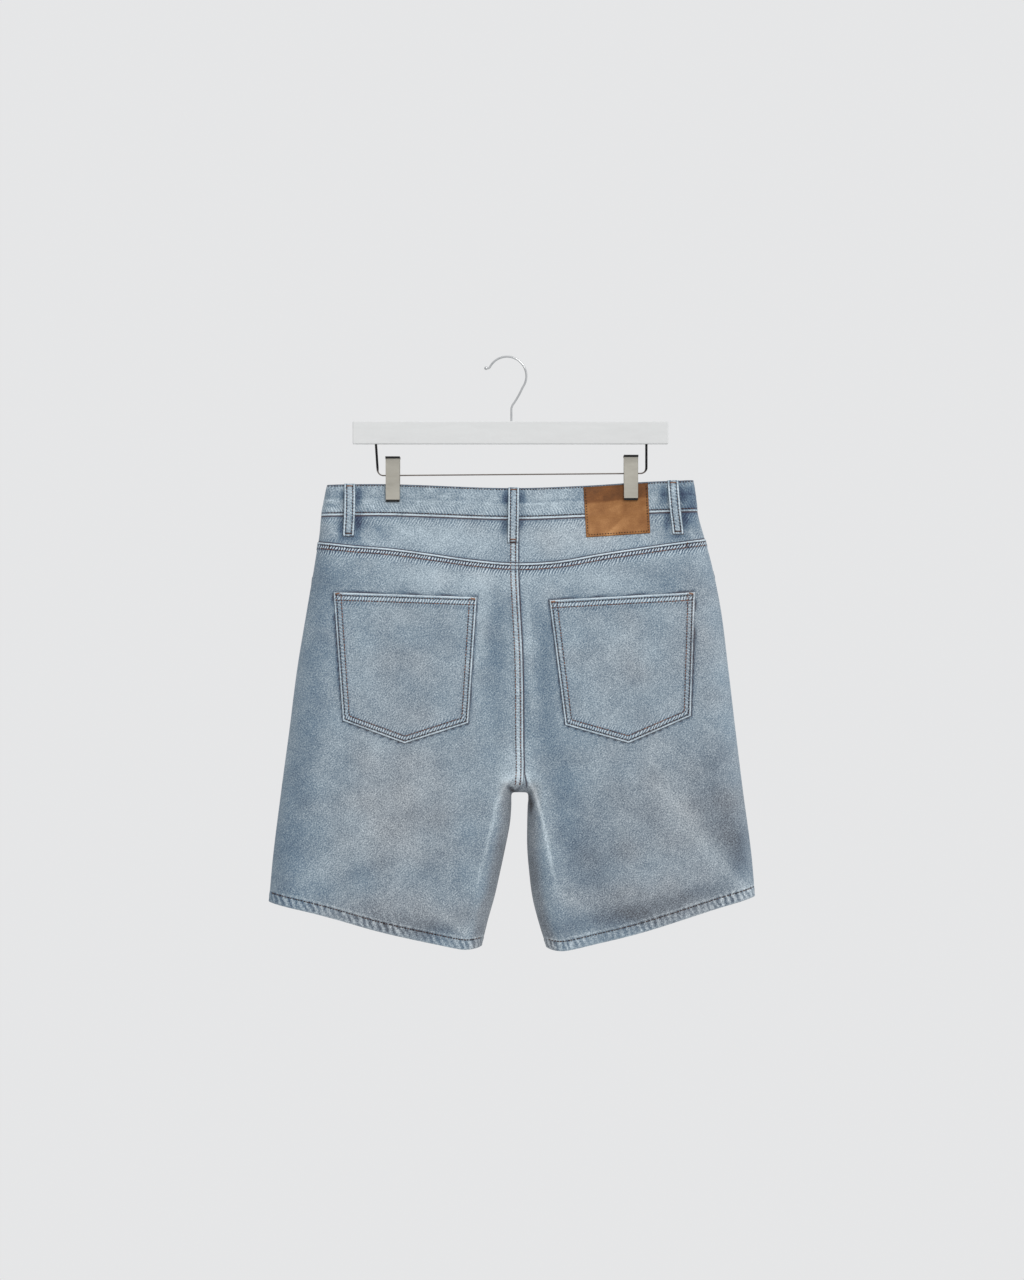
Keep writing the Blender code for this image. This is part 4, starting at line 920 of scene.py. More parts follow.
def pucker(seam, d):
    """Weight of the fine puckers at a distance from a seam's folded edge."""
    first = seam.rows[0]
    last = seam.rows[-1]
    between = ramp(first - 0.4, first + 0.8, d) * (1 - ramp(last - 0.8, last + 0.4, d))
    beyond = ramp(last, last + 1.4, d) * (1 - ramp(last + 2.5, last + 11, d))
    return between + 0.42 * beyond


def roping(d):
    """Weight of the hem's slanted ropes at a height over its foot."""
    return ramp(0.5, 3.0, d) * (1 - ramp(HEM_ROW - 1.5, HEM_ROW + 4, d)) + 0.2 * bell(d, 20, 7)


def seam_edge(seam, d, s, seed):
    """Height and colour of a seam without its puckers, which the material adds. Its colour holds
    painted shade at the very edge, along the rows and beyond the doubled cloth.
    """
    inside = np.clip(d / 0.9, 0, 1)
    height = seam.lift * (1 - ramp(seam.end, seam.end + 2.4, d)) * np.sqrt(1 - (1 - inside) ** 2)
    first = seam.rows[0]
    last = seam.rows[-1]
    worn = ramp(0.4, 0.8, d) * (1 - ramp(1.6, 2.5, d))
    # the worn folded edge, and a painted shadow line at the very edge
    colour = seam.worn * worn * (1 + 0.3 * wander(s / 9, seed)) - 1.2 * (1 - ramp(0.2, 0.7, d))
    for row in seam.rows:
        height = height - 0.25 * bell(d, row, 0.7)
        # painted shade along each row
        colour = colour - seam.dark * bell(d, row, 0.95)
    colour = colour + seam.between * ramp(first, first + 1, d) * (1 - ramp(last - 1, last, d))
    # painted shadow beyond the doubled cloth
    colour = colour - seam.after * bell(d, last + 2.0, 1.3)
    return height, colour


def join(*layers):
    """Seams that meet: the highest wins, and the strongest colour."""
    height = layers[0][0]
    colour = layers[0][1]
    for more_height, more_colour in layers[1:]:
        height = np.maximum(height, more_height) + 0.4 * np.minimum(height, more_height)
        colour = stronger(colour, more_colour)
    return height, colour


# ---------------------------------------------------------------- the cloth pieces


def cloth_piece(node, points, normals, top, bottom, marks, flat=None):
    """A shell of denim for one node, in place of its hidden solid; the size of its cut is worked out
    but not kept.
    """
    piece = shell(node + "_cloth", points, normals, top, bottom, marks, DENIM)
    flat = flat or flat_of(points)
    area = min(cloth_area(points), flat[0] * flat[1])
    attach(piece, "root")
    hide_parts(node)


def cloth_area(points):
    a = points[1:, :-1] - points[:-1, :-1]
    b = points[:-1, 1:] - points[:-1, :-1]
    return float(np.linalg.norm(np.cross(a, b), axis=2).sum()) * MM * MM


def flat_of(points):
    """Width and length of the cut that a grid of points comes from, in metres."""
    across = np.linalg.norm(np.diff(points, axis=1), axis=2).sum(1).max() * MM
    down = np.linalg.norm(np.diff(points, axis=0), axis=2).sum(0).max() * MM
    return round(float(across), 3), round(float(down), 3)


def panel_rows(side, half):
    if side == FRONT:
        return scoop_rows(half) + leg_rows(half)
    z_in = float(top_edge(side, inner_x(side, half, -251)))
    z_out = side_height(half, yoke_seam)
    first = body_row(side, half, z_in, Edge(side_x(half, z_out), z_out), 1.0)
    return [first] + lower_body_rows(side, half, z_in, z_out, 1.0, EDGE_ROWS) + leg_rows(half)


def top_seams(side, half, x, z, points, seed):
    """Seams of a panel's upper edges, as layers, with their puckers along u and v."""
    flat = np.zeros(x.shape)
    if side == BACK:
        from_top = along_columns(points)
        return [seam_edge(YOKE_FELL, from_top, x, seed)], 2.4 * pucker(YOKE_FELL, from_top), flat
    scoop = scoop_distance(half, x, z)
    below_band = band_seam(FRONT, x) - z
    # a painted shadow line below the band
    layers = [seam_edge(SCOOP_FELL, scoop, z, seed), (flat, -0.8 * bell(below_band, 0.4, 1.0))]
    fine_u = 0.35 * ramp(1, 3, below_band) * (1 - ramp(5, 14, below_band))
    return layers, fine_u, pucker(SCOOP_FELL, scoop) * (z > -270)


def centre_seam(side, half, z, from_seam, fine_u, fine_v, seed):
    """The lap of the left half over the centre seam, or its shadow on the right half."""
    body = (z > SEAM_FOOT - 0.5).astype(float)
    if half == LEFT:
        seam = CENTRE_FELL if side == BACK else FLY_FELL
        faded = body * (1 - 0.9 * ramp(SEAM_THINS, SEAM_FOOT, z))
        height, colour = seam_edge(seam, from_seam, z, seed + 5)
        fine_v = np.maximum(fine_v, 0.25 * pucker(seam, from_seam) * faded)
        fine_u = fine_u * (1 - faded * (1 - ramp(8, 11, from_seam)))
        return (height * faded, colour * faded), fine_u, fine_v
    beyond = from_seam - UNDER_LAP
    shadow = -1.1 * bell(beyond, 0.3, 1.0) - 0.25 * ramp(-1, 0, beyond) * (1 - ramp(1, 4, beyond))
    shadow = shadow * body * (1 - ramp(-512, SEAM_FOOT, z))
    fine_v = fine_v + 0.15 * body * ramp(1, 3, beyond) * (1 - ramp(5, 16, beyond))
    return (np.zeros(z.shape), shadow), fine_u, fine_v


def leg_seam(side, z, from_seam, from_side, seed):
    """The felled seam inside the leg on the front, and down the outer side on the back."""
    if side == FRONT:
        leg = 1 - ramp(-540, -528, z)
        height, colour = seam_edge(INSEAM_FELL, from_seam, z, seed + 9)
        return height * leg * 0.8, colour * leg * 0.6
    height, colour = seam_edge(INSEAM_FELL, from_side, z, seed + 9)
    return height * 0.5, colour * 0.5


def hem_marks(height, colour, x, z, from_hem, seed):
    """Height and colour with the turned hem added, and the weight of its ropes."""
    slant = x / 8.4 + z / 21.0
    rope = roping(from_hem)
    uneven = 0.6 + 0.4 * wander(x / 17, seed)
    height = height + 0.42 * np.sin(2 * PI * slant + 1.3 * wander(x / 23, seed)) * rope * uneven
    height = height - 0.35 * bell(from_hem, HEM_ROW, 0.9)
    height = height + 0.25 * ramp(0, 1.4, from_hem) * (1 - ramp(HEM_ROW - 2, HEM_ROW, from_hem))
    above = bell(from_hem, HEM_ROW + 2.4, 1.2)
    # painted shade along the hem's stitch row
    colour = colour - 0.28 * bell(from_hem, HEM_ROW, 0.9)
    colour = colour + 0.55 * above * (0.8 + 0.3 * wander(x / 7, seed + 4))
    colour = colour + 0.55 * (1 - ramp(0.0, 1.6, from_hem)) * (0.7 + 0.5 * wander(x / 6, seed + 2))
    return height - 0.9 * turned_edge(from_hem, 1.2), colour, rope * uneven


def build_panel(side, half):
    x, z, crown = panel_grid(side, half, panel_rows(side, half))
    points, normals = lay(side, x, z, crown)
    from_seam = along_rows(points)
    from_side = along_rows(points, inward=True)
    from_hem = along_columns(points, upward=True)
    seed = 11 if half == LEFT else 23
    layers, fine_u, fine_v = top_seams(side, half, x, z, points, seed)
    centre, fine_u, fine_v = centre_seam(side, half, z, from_seam, fine_u, fine_v, seed)
    height, colour = join(*layers, centre, leg_seam(side, z, from_seam, from_side, seed))
    # a painted shadow line round each back pocket
    if side == BACK:
        for pocket in POCKETS:
            top, others = pocket_distances(pocket, x, z)
            outside = -np.minimum.reduce([top] + others)
            colour = colour - 1.0 * bell(outside, 0.55, 1.1)
    height, colour, ropes = hem_marks(height, colour, x, z, from_hem, seed)
    thickness = np.where(from_hem < HEM_HEIGHT + 1, HEM_CLOTH, CLOTH)
    marks = Marks(fading(side, x, z), colour, np.stack((fine_u, fine_v, ropes), -1))
    name = f"{SIDE_NAMES[side]}_panel_{HALF_NAMES[half]}"
    cloth_piece(name, points, normals, height, -thickness, marks)


def side_height(half, edge):
    z = SECTIONS[0].z
    for _ in range(6):
        z = float(edge(side_x(half, z)))
    return z


def scoop_point(half, turn, grow=0.0):
    z_side = side_height(half, lambda x: band_seam(FRONT, x))
    x_side = float(side_x(half, z_side - SCOOP_DROP))
    x = x_side - half * (SCOOP_WIDTH + grow) * np.cos(turn)
    start = float(band_seam(FRONT, x)) + 2.0
    return Edge(float(x), float(mix(start, z_side - SCOOP_DROP - grow, np.sin(turn))))


def scoop_distance(half, x, z):
    """Distance outside the curved mouth of the front pocket, about right near it."""
    z_side = side_height(half, lambda x: band_seam(FRONT, x))
    x_side = float(side_x(half, z_side - SCOOP_DROP))
    across = half * (x_side - x) / SCOOP_WIDTH
    down = (band_seam(FRONT, x) - z) / SCOOP_DROP
    ring = np.hypot(across, down) + 1e-6
    slope = np.hypot(across / ring / SCOOP_WIDTH, down / ring / SCOOP_DROP)
    return (ring - 1) / slope


def scoop_rows(half):
    z_in = float(top_edge(FRONT, CENTRE_X))
    z_in_end = z_in - SCOOP_DROP
    z_side = scoop_point(half, PI / 2).z
    fold = float(side_fold(z_side))
    start = np.arccos(fold / SCOOP_WIDTH)
    turns = list(np.linspace(0, start, 22)[:-1])
    turns += [np.arccos(fold * (1 - np.cos(a)) / SCOOP_WIDTH) for a in SIDE_TURNS[::-1]]
    rows = []
    for k, turn in enumerate(turns):
        share = k / (len(turns) - 1)
        z_row = mix(z_in, z_in_end, share)
        inner = Edge(inner_x(FRONT, half, z_row), z_row)
        last = k == len(turns) - 1
        rows.append(Row(inner, scoop_point(half, turn), (1 - share) ** 2, 0, False, last))
    return rows + lower_body_rows(FRONT, half, z_in_end, z_side, 0.0, (0.0, 2.0))


YOKE_DROPS = (-2.0, -0.5, 0.0, 0.3, 0.8, 1.5, 2.4, 3.6, 5.2, 7.2, 9.6, 12.4)
YOKE_RISES = (10.0, 7.6, 5.6, 4.2, 3.0, 2.1, 1.4, 0.8, 0.4, 0.1, -0.5, -2.0, -5.0)


def yoke_height(kind, amount, band, seam):
    """Height of a row of the yoke, between the foot of the band and the yoke seam."""
    if kind == "below band":
        return band - amount
    if kind == "above seam":
        return seam + amount
    return mix(band - YOKE_DROPS[-1], seam + YOKE_RISES[0], amount)


def yoke_grid(half):
    places = [("below band", drop) for drop in YOKE_DROPS]
    places += [("between", share) for share in np.linspace(0, 1, 8)[1:-1]]
    places += [("above seam", rise) for rise in YOKE_RISES]
    z_band = side_height(half, lambda x: band_seam(BACK, x))
    z_seam = side_height(half, yoke_seam)
    x_in = inner_x(BACK, half, -224)
    rows = []
    for kind, amount in places:
        z_out = yoke_height(kind, amount, z_band, z_seam)
        length = abs(float(side_x(half, z_out)) - x_in)
        x = x_in + half * columns_of(length, float(side_fold(z_out)))
        z = yoke_height(kind, amount, band_seam(BACK, x), yoke_seam(x))
        z[-1] = z_out
        rows.append((x, z, np.arange(len(x)) == len(x) - 1))
    return stacked(rows)


def build_yoke(half):
    x, z, crown = yoke_grid(half)
    points, normals = lay(BACK, x, z, crown)
    below_band = band_seam(BACK, x) - z
    above_seam = z - yoke_seam(x)
    from_seam = along_rows(points)
    seed = 31 if half == LEFT else 37
    # painted shadow lines below the band's edge and above the lapped yoke seam
    colour = -1.6 * bell(below_band, 0.4, 1.2) - 0.25 * bell(below_band, 3.0, 1.6)
    colour = colour - 1.2 * bell(above_seam, 0.2, 0.9) - 0.15 * bell(above_seam, 2.4, 1.4)
    height = np.zeros(x.shape)
    fine_u = 0.45 * ramp(1.5, 3.5, below_band) * (1 - ramp(7, 17, below_band))
    fine_u = fine_u + 0.3 * ramp(1, 3, above_seam) * (1 - ramp(4, 10, above_seam))
    if half == LEFT:
        lip = seam_edge(CENTRE_FELL, from_seam, z, seed + 5)
        height, colour = join((height, colour), lip)
        fine_v = 0.4 * pucker(CENTRE_FELL, from_seam)
        fine_u = fine_u * ramp(9, 12, from_seam)
    else:
        beyond = from_seam - UNDER_LAP
        # painted shadow of the left half's lap
        colour = stronger(colour, -1.1 * bell(beyond, 0.3, 1.0))
        fine_v = 0.15 * ramp(1, 3, beyond) * (1 - ramp(5, 12, beyond))
    marks = Marks(fading(BACK, x, z), colour, np.stack((fine_u, fine_v, 0 * x), -1))
    cloth_piece(f"back_yoke_{HALF_NAMES[half]}", points, normals, height, -CLOTH, marks)


def behind_front(name, points, normals, fade, line):
    """A plain piece of cloth that lies behind the front panels."""
    inset = CLOTH + BEHIND_GAP
    marks = Marks(fade, line, np.zeros(points.shape))
    cloth_piece(name, points, normals, -inset, -inset - CLOTH, marks)


def build_facing(half):
    z_side = side_height(half, lambda x: band_seam(FRONT, x)) + 2.0
    width = SCOOP_WIDTH + FACING_LAP
    rows = []
    for lower in np.linspace(0, SCOOP_DROP + FACING_LAP + 2.0, 34):
        z_out = z_side - lower
        fold = float(side_fold(z_out))
        steps = np.concatenate((fold * (1 - np.cos(SIDE_TURNS)), np.linspace(fold, width, 30)[1:]))
        x = float(side_x(half, z_out)) - half * steps
        z = band_seam(FRONT, x) + 2.0 - lower
        z[0] = z_out
        rows.append((x, z, np.arange(len(x)) == 0))
    x, z, crown = stacked(rows)
    points, normals = lay(FRONT, x, z, crown)
    shade = -0.5 * (1 - ramp(0, 5, -scoop_distance(half, x, z)))
    name = f"pocket_facing_{HALF_NAMES[half]}"
    behind_front(name, points, normals, fading(FRONT, x, z) - 0.35, shade)


def build_fly_shield():
    rows = []
    for down in np.linspace(0, FLY_LENGTH, 30):
        across = np.linspace(-FLY_HALF, FLY_HALF, 14)
        z = band_seam(FRONT, CENTRE_X + across) - down
        rows.append((centre_x(z) + across, z))
    x, z = stacked(rows)
    points, normals = lay(FRONT, x, z)
    behind_front("fly_shield", points, normals, fading(FRONT, x, z) - 0.4, 0 * x)


def band_stations(step):
    z = float(waist_edge(CENTRE_X)) - BAND_HEIGHT / 2
    fold = float(side_fold(z))
    first = [(LEFT, fold * (1 - np.cos(turn))) for turn in SIDE_TURNS]
    last = [(RIGHT, fold * (1 - np.cos(turn))) for turn in SIDE_TURNS[::-1]]
    start = float(left_edge(z)) + fold
    end = float(right_edge(z)) - fold
    count = round((end - start) / step)
    return first + [(0, mix(start, end, k / count)) for k in range(1, count)] + last


def station_x(station, z):
    half, value = station
    return value if half == 0 else float(side_x(half, z)) - half * value


BAND_ROWS = np.array(
    [0, 0.1, 0.35, 0.75, 1.2, 1.8, 2.5, 3.3, 4.4, 6, 8, 10, 12, 14, 16, 17.5, 18.5, 19.4, 20.2]
    + [21, 22, 23.5, 25.5, 27.5, 29.5, 31, 32, 32.7, 33.3, 33.9, 34.5, 35.0, 35.5, 35.9]
    + [36.2, 36.4, 36.5]
)
# A line pressed along the middle of the band, and the puckers below it.
BAND_CREASE = 19.8
BAND_PUFF = 27


def band_path(z, middle):
    """Stations once round the waist: side, station, and whether it dives under the lap."""

    def place(station):
        return station_x(station, z)

    lap_end = middle + LAP_HALF
    under_end = middle - LAP_HALF
    front = band_stations(3.4)
    over = [s for s in front if place(s) < lap_end - 2.0]
    over += [(0, lap_end - d) for d in (1.3, 0.7, 0.3, 0.08, 0.0)]
    under = [s for s in front if place(s) > under_end + 2.0]
    under = sorted(under + [(0, under_end), (0, under_end + 0.8)], key=place)
    path = [(FRONT, s, False) for s in reversed(over)]
    path += [(BACK, s, False) for s in band_stations(2.4)[1:]]
    return path + [(FRONT, s, True) for s in reversed(under[:-1])]


def band_grid(drops):
    """x and z of the band's points, the side of each, and how far each dives under the lap."""
    z_middle = float(waist_edge(CENTRE_X)) - BAND_HEIGHT / 2
    middle = float(centre_x(z_middle))
    path = band_path(z_middle, middle)
    side = np.array([entry[0] for entry in path])
    under = np.array([entry[2] for entry in path], float)
    x_middle = np.array([station_x(entry[1], z_middle) for entry in path])
    dives = under * (1 - ramp(LAP_RAMP[1], LAP_RAMP[0], x_middle - middle))
    rows = []
    for drop in drops:
        z = waist_top(side, x_middle) - drop
        x = np.array([station_x(entry[1], float(h)) for entry, h in zip(path, z)])
        rows.append((x, z, side, dives))
    return stacked(rows)


def band_relief(down, foot, along):
    crease = BAND_CREASE + 0.7 * wander(along / 31, 8)
    puff = 0.35 * np.sin(2 * PI * along / 9.5 + 2.2 * wander(along / 21, 3)) * bell(down, BAND_PUFF, 5)
    height = BAND_PROUD + 0.22 * bell(down, 11, 7) + 0.30 * bell(down, crease, 1.3) + 0.22 * puff
    height = height - 0.32 * bell(foot, BAND_FOOT.rows[0], 0.9) - 0.2 * bell(down, 2.0, 0.9)
    height = height - 1.0 * turned_edge(down, 1.3) - 0.9 * turned_edge(foot, 1.1)
    return height - 0.8 * (1 - ramp(0, 0.9, along))


def band_colour(down, foot, along):
    crease = BAND_CREASE + 0.7 * wander(along / 31, 8)
    colour = 1.15 * (1 - ramp(1.4, 2.4, foot)) * (0.85 + 0.25 * wander(along / 8, 2))
    # painted shade along the stitch row
    colour = colour - 0.95 * bell(foot, BAND_FOOT.rows[0], 0.9)
    # a painted highlight along the pressed crease, and painted shade above it
    colour = colour + 0.34 * bell(down, crease, 1.1) * (0.5 + 0.7 * wander(along / 19, 6))
    colour = colour - 0.22 * bell(down, 16.2, 2.2) * (0.7 + 0.5 * wander(along / 26, 12))
    # painted shade along the rounded top edge
    return colour - 0.8 * (1 - ramp(0.6, 2.0, down))


def build_waistband():
    drops = BAND_ROWS * BAND_HEIGHT / BAND_ROWS[-1]
    x, z, side, dives = band_grid(drops)
    points, normals = lay(side, x, z)
    down = drops[:, None] * np.ones(x.shape)
    foot = BAND_HEIGHT - down
    along = along_rows(points)
    sink = dives * (BAND_CLOTH + 0.3)
    top = band_relief(down, foot, along) - sink
    bottom = BAND_PROUD - BAND_CLOTH + 0.8 * turned_edge(down, 1.3) - sink
    # the upper half tilts back, so it is painted darker as shade
    upper = 1 - ramp(14, 22, down)
    fade = fading(side, x, z) + 0.04 * upper + 0.14 * (1 - upper)
    fade = fade + 0.16 * swell(x / 1.6, z * 1.3, 6, 41) + 0.10 * swell(x * 1.6, z / 1.5, 5, 43)
    fade = fade - 0.2 * ramp(208, 222, x)
    fine = 0.30 * bell(down, BAND_PUFF, 5.5) + 0.3 * bell(foot, 5.5, 2.2) + 0.2 * bell(down, 5.5, 2.5)
    marks = Marks(fade, band_colour(down, foot, along), np.stack((fine, 0 * x, 0 * x), -1))
    cloth_piece("waistband", points, normals, top, bottom, marks)


def pocket_point(pocket, across, down):
    """across 0 at the centre seam's side and 1 at the outer side, down 0 at the top."""
    top_x = mix(pocket.top_in.x, pocket.top_out.x, across)
    top_z = mix(pocket.top_in.z, pocket.top_out.z, across)
    first = across <= 0.5
    foot_x = np.where(
        first,
        mix(pocket.foot_in.x, pocket.tip.x, across * 2),
        mix(pocket.tip.x, pocket.foot_out.x, across * 2 - 1),
    )
    foot_z = np.where(
        first,
        mix(pocket.foot_in.z, pocket.tip.z, across * 2),
        mix(pocket.tip.z, pocket.foot_out.z, across * 2 - 1),
    )
    return mix(top_x, foot_x, down), mix(top_z, foot_z, down)


def edge_distance(x, z, a, b):
    """Distance from the line a to b, positive on its left."""
    run = np.hypot(b.x - a.x, b.z - a.z)
    return ((b.x - a.x) * (z - a.z) - (b.z - a.z) * (x - a.x)) / run


def pocket_distances(pocket, x, z):
    """From the top edge and from the nearest of the other four edges."""
    flip = 1.0 if pocket.top_in.x < pocket.top_out.x else -1.0
    top = edge_distance(x, z, pocket.top_out, pocket.top_in) * flip
    others = [
        edge_distance(x, z, pocket.top_in, pocket.foot_in) * flip,
        edge_distance(x, z, pocket.foot_in, pocket.tip) * flip,
        edge_distance(x, z, pocket.tip, pocket.foot_out) * flip,
        edge_distance(x, z, pocket.foot_out, pocket.top_out) * flip,
    ]
    return top, others


NEAR_POCKET_EDGE = np.array(
    [0, 0.12, 0.35, 0.7, 1.2, 1.9, 2.6, 3.4, 4.4, 5.6, 6.8, 7.8, 8.8, 10.2, 11.5, 12.8, 14, 15.4]
)


def pocket_shares(size):
    near = NEAR_POCKET_EDGE / size
    return near, 1 - near[::-1]


def pocket_mouth(across, top, nearest):
    """The mouth of a pocket stands off a little, more in its middle."""
    return 1.3 * bell(across, 0.5, 0.34) * (1 - ramp(0, 34, top)) * ramp(2, 12, nearest)


def pocket_grid():
    near, far = pocket_shares(172.0)
    half_out = np.linspace(near[-1], 0.5, 26)[1:-1]
    across = np.concatenate((near, half_out, [0.5], 1 - half_out[::-1], far))
    near, far = pocket_shares(160.0)
    down = np.concatenate((near, np.linspace(near[-1], far[0], 46)[1:-1], far))
    return np.meshgrid(across, down)


def pocket_colour(colour, x, top, upright, level_edge, corner, seed):
    """The seam's colour with the hem of the mouth, which shows through and wears, and painted shade
    below the hem and along the side rows.
    """
    uneven = 0.7 + 0.4 * wander(x / 9, seed + 5)
    # painted shadow below the hem of the mouth
    colour = colour - 0.34 * bell(top, 13.9, 1.4) * corner * uneven
    colour = colour + 0.14 * bell(top, 11.5, 0.9) * corner
    colour = colour + 0.16 * bell(top, 6.9, 1.4) * corner
    # painted shade along the side rows
    for row in POCKET_SIDE.rows:
        colour = colour - 0.3 * bell(level_edge, row, 0.95) * (level_edge < upright)
    return colour - 0.25 * bell(upright, POCKET_SIDE.rows[0], 0.8)


def build_pocket(pocket):
    across, down = pocket_grid()
    x, z = pocket_point(pocket, across, down)
    points, normals = lay(BACK, x, z)
    top, others = pocket_distances(pocket, x, z)
    upright = np.minimum(others[0], others[3])
    level_edge = np.minimum(others[1], others[2])
    top = np.maximum(top, 0)
    nearest = np.maximum(np.minimum.reduce(others), 0)
    seed = 41 if pocket.top_in.x < 0 else 47
    side_h, side_c = seam_edge(POCKET_SIDE, nearest, x + z, seed)
    top_h, top_c = seam_edge(POCKET_TOP, top, x, seed + 2)
    corner = ramp(0, 2, nearest)
    height, colour = join((side_h, side_c), (top_h * corner, top_c * corner))
    colour = pocket_colour(colour, x, top, upright, level_edge, corner, seed)
    rounding = 1.15 * turned_edge(np.minimum(top, nearest), 1.1)
    mouth = pocket_mouth(across, top, nearest)
    outer = POCKET_GAP + POCKET_CLOTH - 0.35 + height - rounding + mouth
    fade = fading(BACK, x, z) + 0.10 * bell(top, 7.5, 5)
    fine_u = np.maximum(pucker(POCKET_TOP, top), pucker(POCKET_SIDE, level_edge)) * corner
    fine_v = 0.35 * pucker(POCKET_SIDE, upright) * ramp(10, 13, top)
    marks = Marks(fade, colour, np.stack((fine_u, fine_v, 0 * x), -1))
    width = abs(pocket.top_out.x - pocket.top_in.x) * MM
    flat = (round(width, 3), round((pocket.top_in.z - pocket.tip.z) * MM, 3))
    cloth_piece(pocket.name, points, normals, outer, 0.15 + mouth, marks, flat=flat)


def loop_grid(loop, down_cells, across):
    """Rows down a belt loop: points, normals and its stand off."""
    z_top = float(waist_top(loop.side, loop.x_top)) + LOOP_OVER_TOP
    seam = float(band_seam(loop.side, loop.x_top))
    length = z_top - loop.z_foot
    drop = down_cells * length
    z = (z_top - drop)[:, None] + 0 * across
    x = mix(loop.x_top, loop.x_foot, down_cells)[:, None] + LOOP_WIDTH * across
    on_band = 1 - ramp(*LOOP_LANDING, seam - z_top + drop)
    stand_off = ramp(LOOP_TACK * 0.4, LOOP_TACK * 2, drop)
    stand_off = stand_off * ramp(LOOP_TACK, LOOP_TACK * 3, length - drop)
    lift = LOOP_GAP + BAND_PROUD * on_band + LOOP_STAND_OFF * stand_off
    return x, z, lift, drop, length


LOOP_DOWN = np.concatenate(
    ([0, 0.004, 0.012, 0.025], np.linspace(0.04, 0.96, 42), [0.975, 0.988, 0.996, 1])
)
HALF_LOOP = np.array([0.5, 0.493, 0.475, 0.44, 0.40, 0.35, 0.30, 0.26, 0.22, 0.16, 0.08])
LOOP_SEAM = 3.6


def loop_colour(loop, off, edge, at_foot, drop):
    worn = 0.85 + 0.3 * wander(drop / 6, loop.x_top)[:, None]
    colour = 1.1 * ramp(0.3, 0.7, edge) * (1 - ramp(1.4, 2.5, edge)) * worn
    # a painted shadow line at the very edges
    colour = colour - 1.1 * (1 - ramp(0.1, 0.5, edge))
    # painted shade along the rows
    colour = colour - 0.7 * bell(off, LOOP_SEAM, 0.9) + 0.10 * bell(off, 0, 1.6)
    # the corners of the foot are tucked away, with painted shade on them
    corner = np.hypot(np.maximum(2.2 - edge, 0), np.maximum(2.2 - at_foot, 0))
    return mix(colour, -1.2, ramp(1.5, 2.1, corner) * (at_foot < 2.2))


def build_loop(loop):
    across = np.concatenate((-HALF_LOOP, [0.0], HALF_LOOP[::-1]))[None, :]
    x, z, lift, drop, length = loop_grid(loop, LOOP_DOWN, across)
    points, normals = seat(loop.side, x, z)
    off = np.abs(across) * LOOP_WIDTH + 0 * x
    edge = LOOP_WIDTH / 2 - off
    ends = np.minimum(drop, length - drop)[:, None] + 0 * x
    rounding = 1.0 * turned_edge(edge, 1.2) + 0.9 * turned_edge(ends, 1.2)
    relief = 0.18 * bell(off, 0, 1.6) - 0.35 * bell(off, LOOP_SEAM, 0.7) - 0.25 * bell(ends, 4.0, 1.6)
    relief = relief + 0.12 * wander(drop / 4.0, loop.x_top)[:, None]
    top = lift[:, None] + LOOP_CLOTH - rounding + relief
    colour = loop_colour(loop, off, edge, (length - drop)[:, None] + 0 * x, drop)
    fade = 0.20 + 0.20 * swell(x, z, 9, int(abs(loop.x_top)))
    marks = Marks(fade, colour, np.stack((0 * x, 0.5 * bell(off, LOOP_SEAM, 2.2), 0 * x), -1))
    cloth_piece(loop.name, points, normals, top, lift[:, None], marks)


PATCH_WIDTH = 79
PATCH_HEIGHT = 60
PATCH_DROP = 60.5


def patch_point(across, down):
    upper_in, upper_out, lower_out, lower_in = PATCH
    upper_x = mix(upper_in.x, upper_out.x, across)
    upper_z = mix(upper_in.z, upper_out.z, across)
    lower_x = mix(lower_in.x, lower_out.x, across)
    lower_z = mix(lower_in.z, lower_out.z, across)
    return mix(upper_x, lower_x, down), mix(upper_z, lower_z, down)


def patch_sag(drop):
    """The patch sags in towards the yoke below the waist seam."""
    return 0.5 * ramp(34, 44, drop) - 0.25 * bell(drop, 35, 3)


def patch_height(x, z, drop):
    uneven = 0.30 * swell(x, z, 22, 61) + 0.12 * swell(x, z, 9, 62)
    return BAND_PROUD + 1.35 + uneven - patch_sag(drop)


def patch_lift(x, z):
    drop = np.interp(x, (PATCH[0].x, PATCH[1].x), (PATCH[0].z, PATCH[1].z)) - z
    return patch_height(x, z, drop) - rumple(BACK, x, z) + 0.1


def build_patch():
    ends = np.array([0, 0.15, 0.5, 1.0, 1.7, 2.6, 3.6, 4.6])
    near, under = ends / PATCH_WIDTH, ends / PATCH_HEIGHT
    across = np.concatenate((near, np.linspace(0.075, 0.925, 44), 1 - near[::-1]))
    down = np.concatenate((under, np.linspace(0.1, 0.9, 36), 1 - under[::-1]))
    across, down = np.meshgrid(across, down)
    x, z = patch_point(across, down)
    points, normals = seat(BACK, x, z)
    beside = np.minimum(across, 1 - across) * PATCH_WIDTH
    edge = np.minimum(beside, np.minimum(down, 1 - down) * PATCH_HEIGHT)
    drop = down * PATCH_DROP
    height = patch_height(x, z, drop) - 1.0 * turned_edge(edge, 1.0) - 0.3 * bell(edge, 2.6, 0.9)
    bottom = BAND_PROUD + 0.05 - patch_sag(drop) - 0.5 * ramp(34, 40, drop)
    # a soft crease below the middle, paler on its lower side
    wide = across * PATCH_WIDTH - 29
    low = drop - 55
    past = (wide * 14 + low * 15) / 20.5
    pale = ramp(-0.6, 1.6, past) * (1 - ramp(3, 20, past))
    pale = pale * (1 - ramp(16, 30, wide)) * ramp(-22, -10, low)
    marks = Marks(edge, pale, np.stack((across, down, 0 * x), -1))
    piece = shell("leather_patch_skin", points, normals, height, bottom, marks, SKIN)
    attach(piece, "root")
    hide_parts("leather_patch")


# ---------------------------------------------------------------- stitches


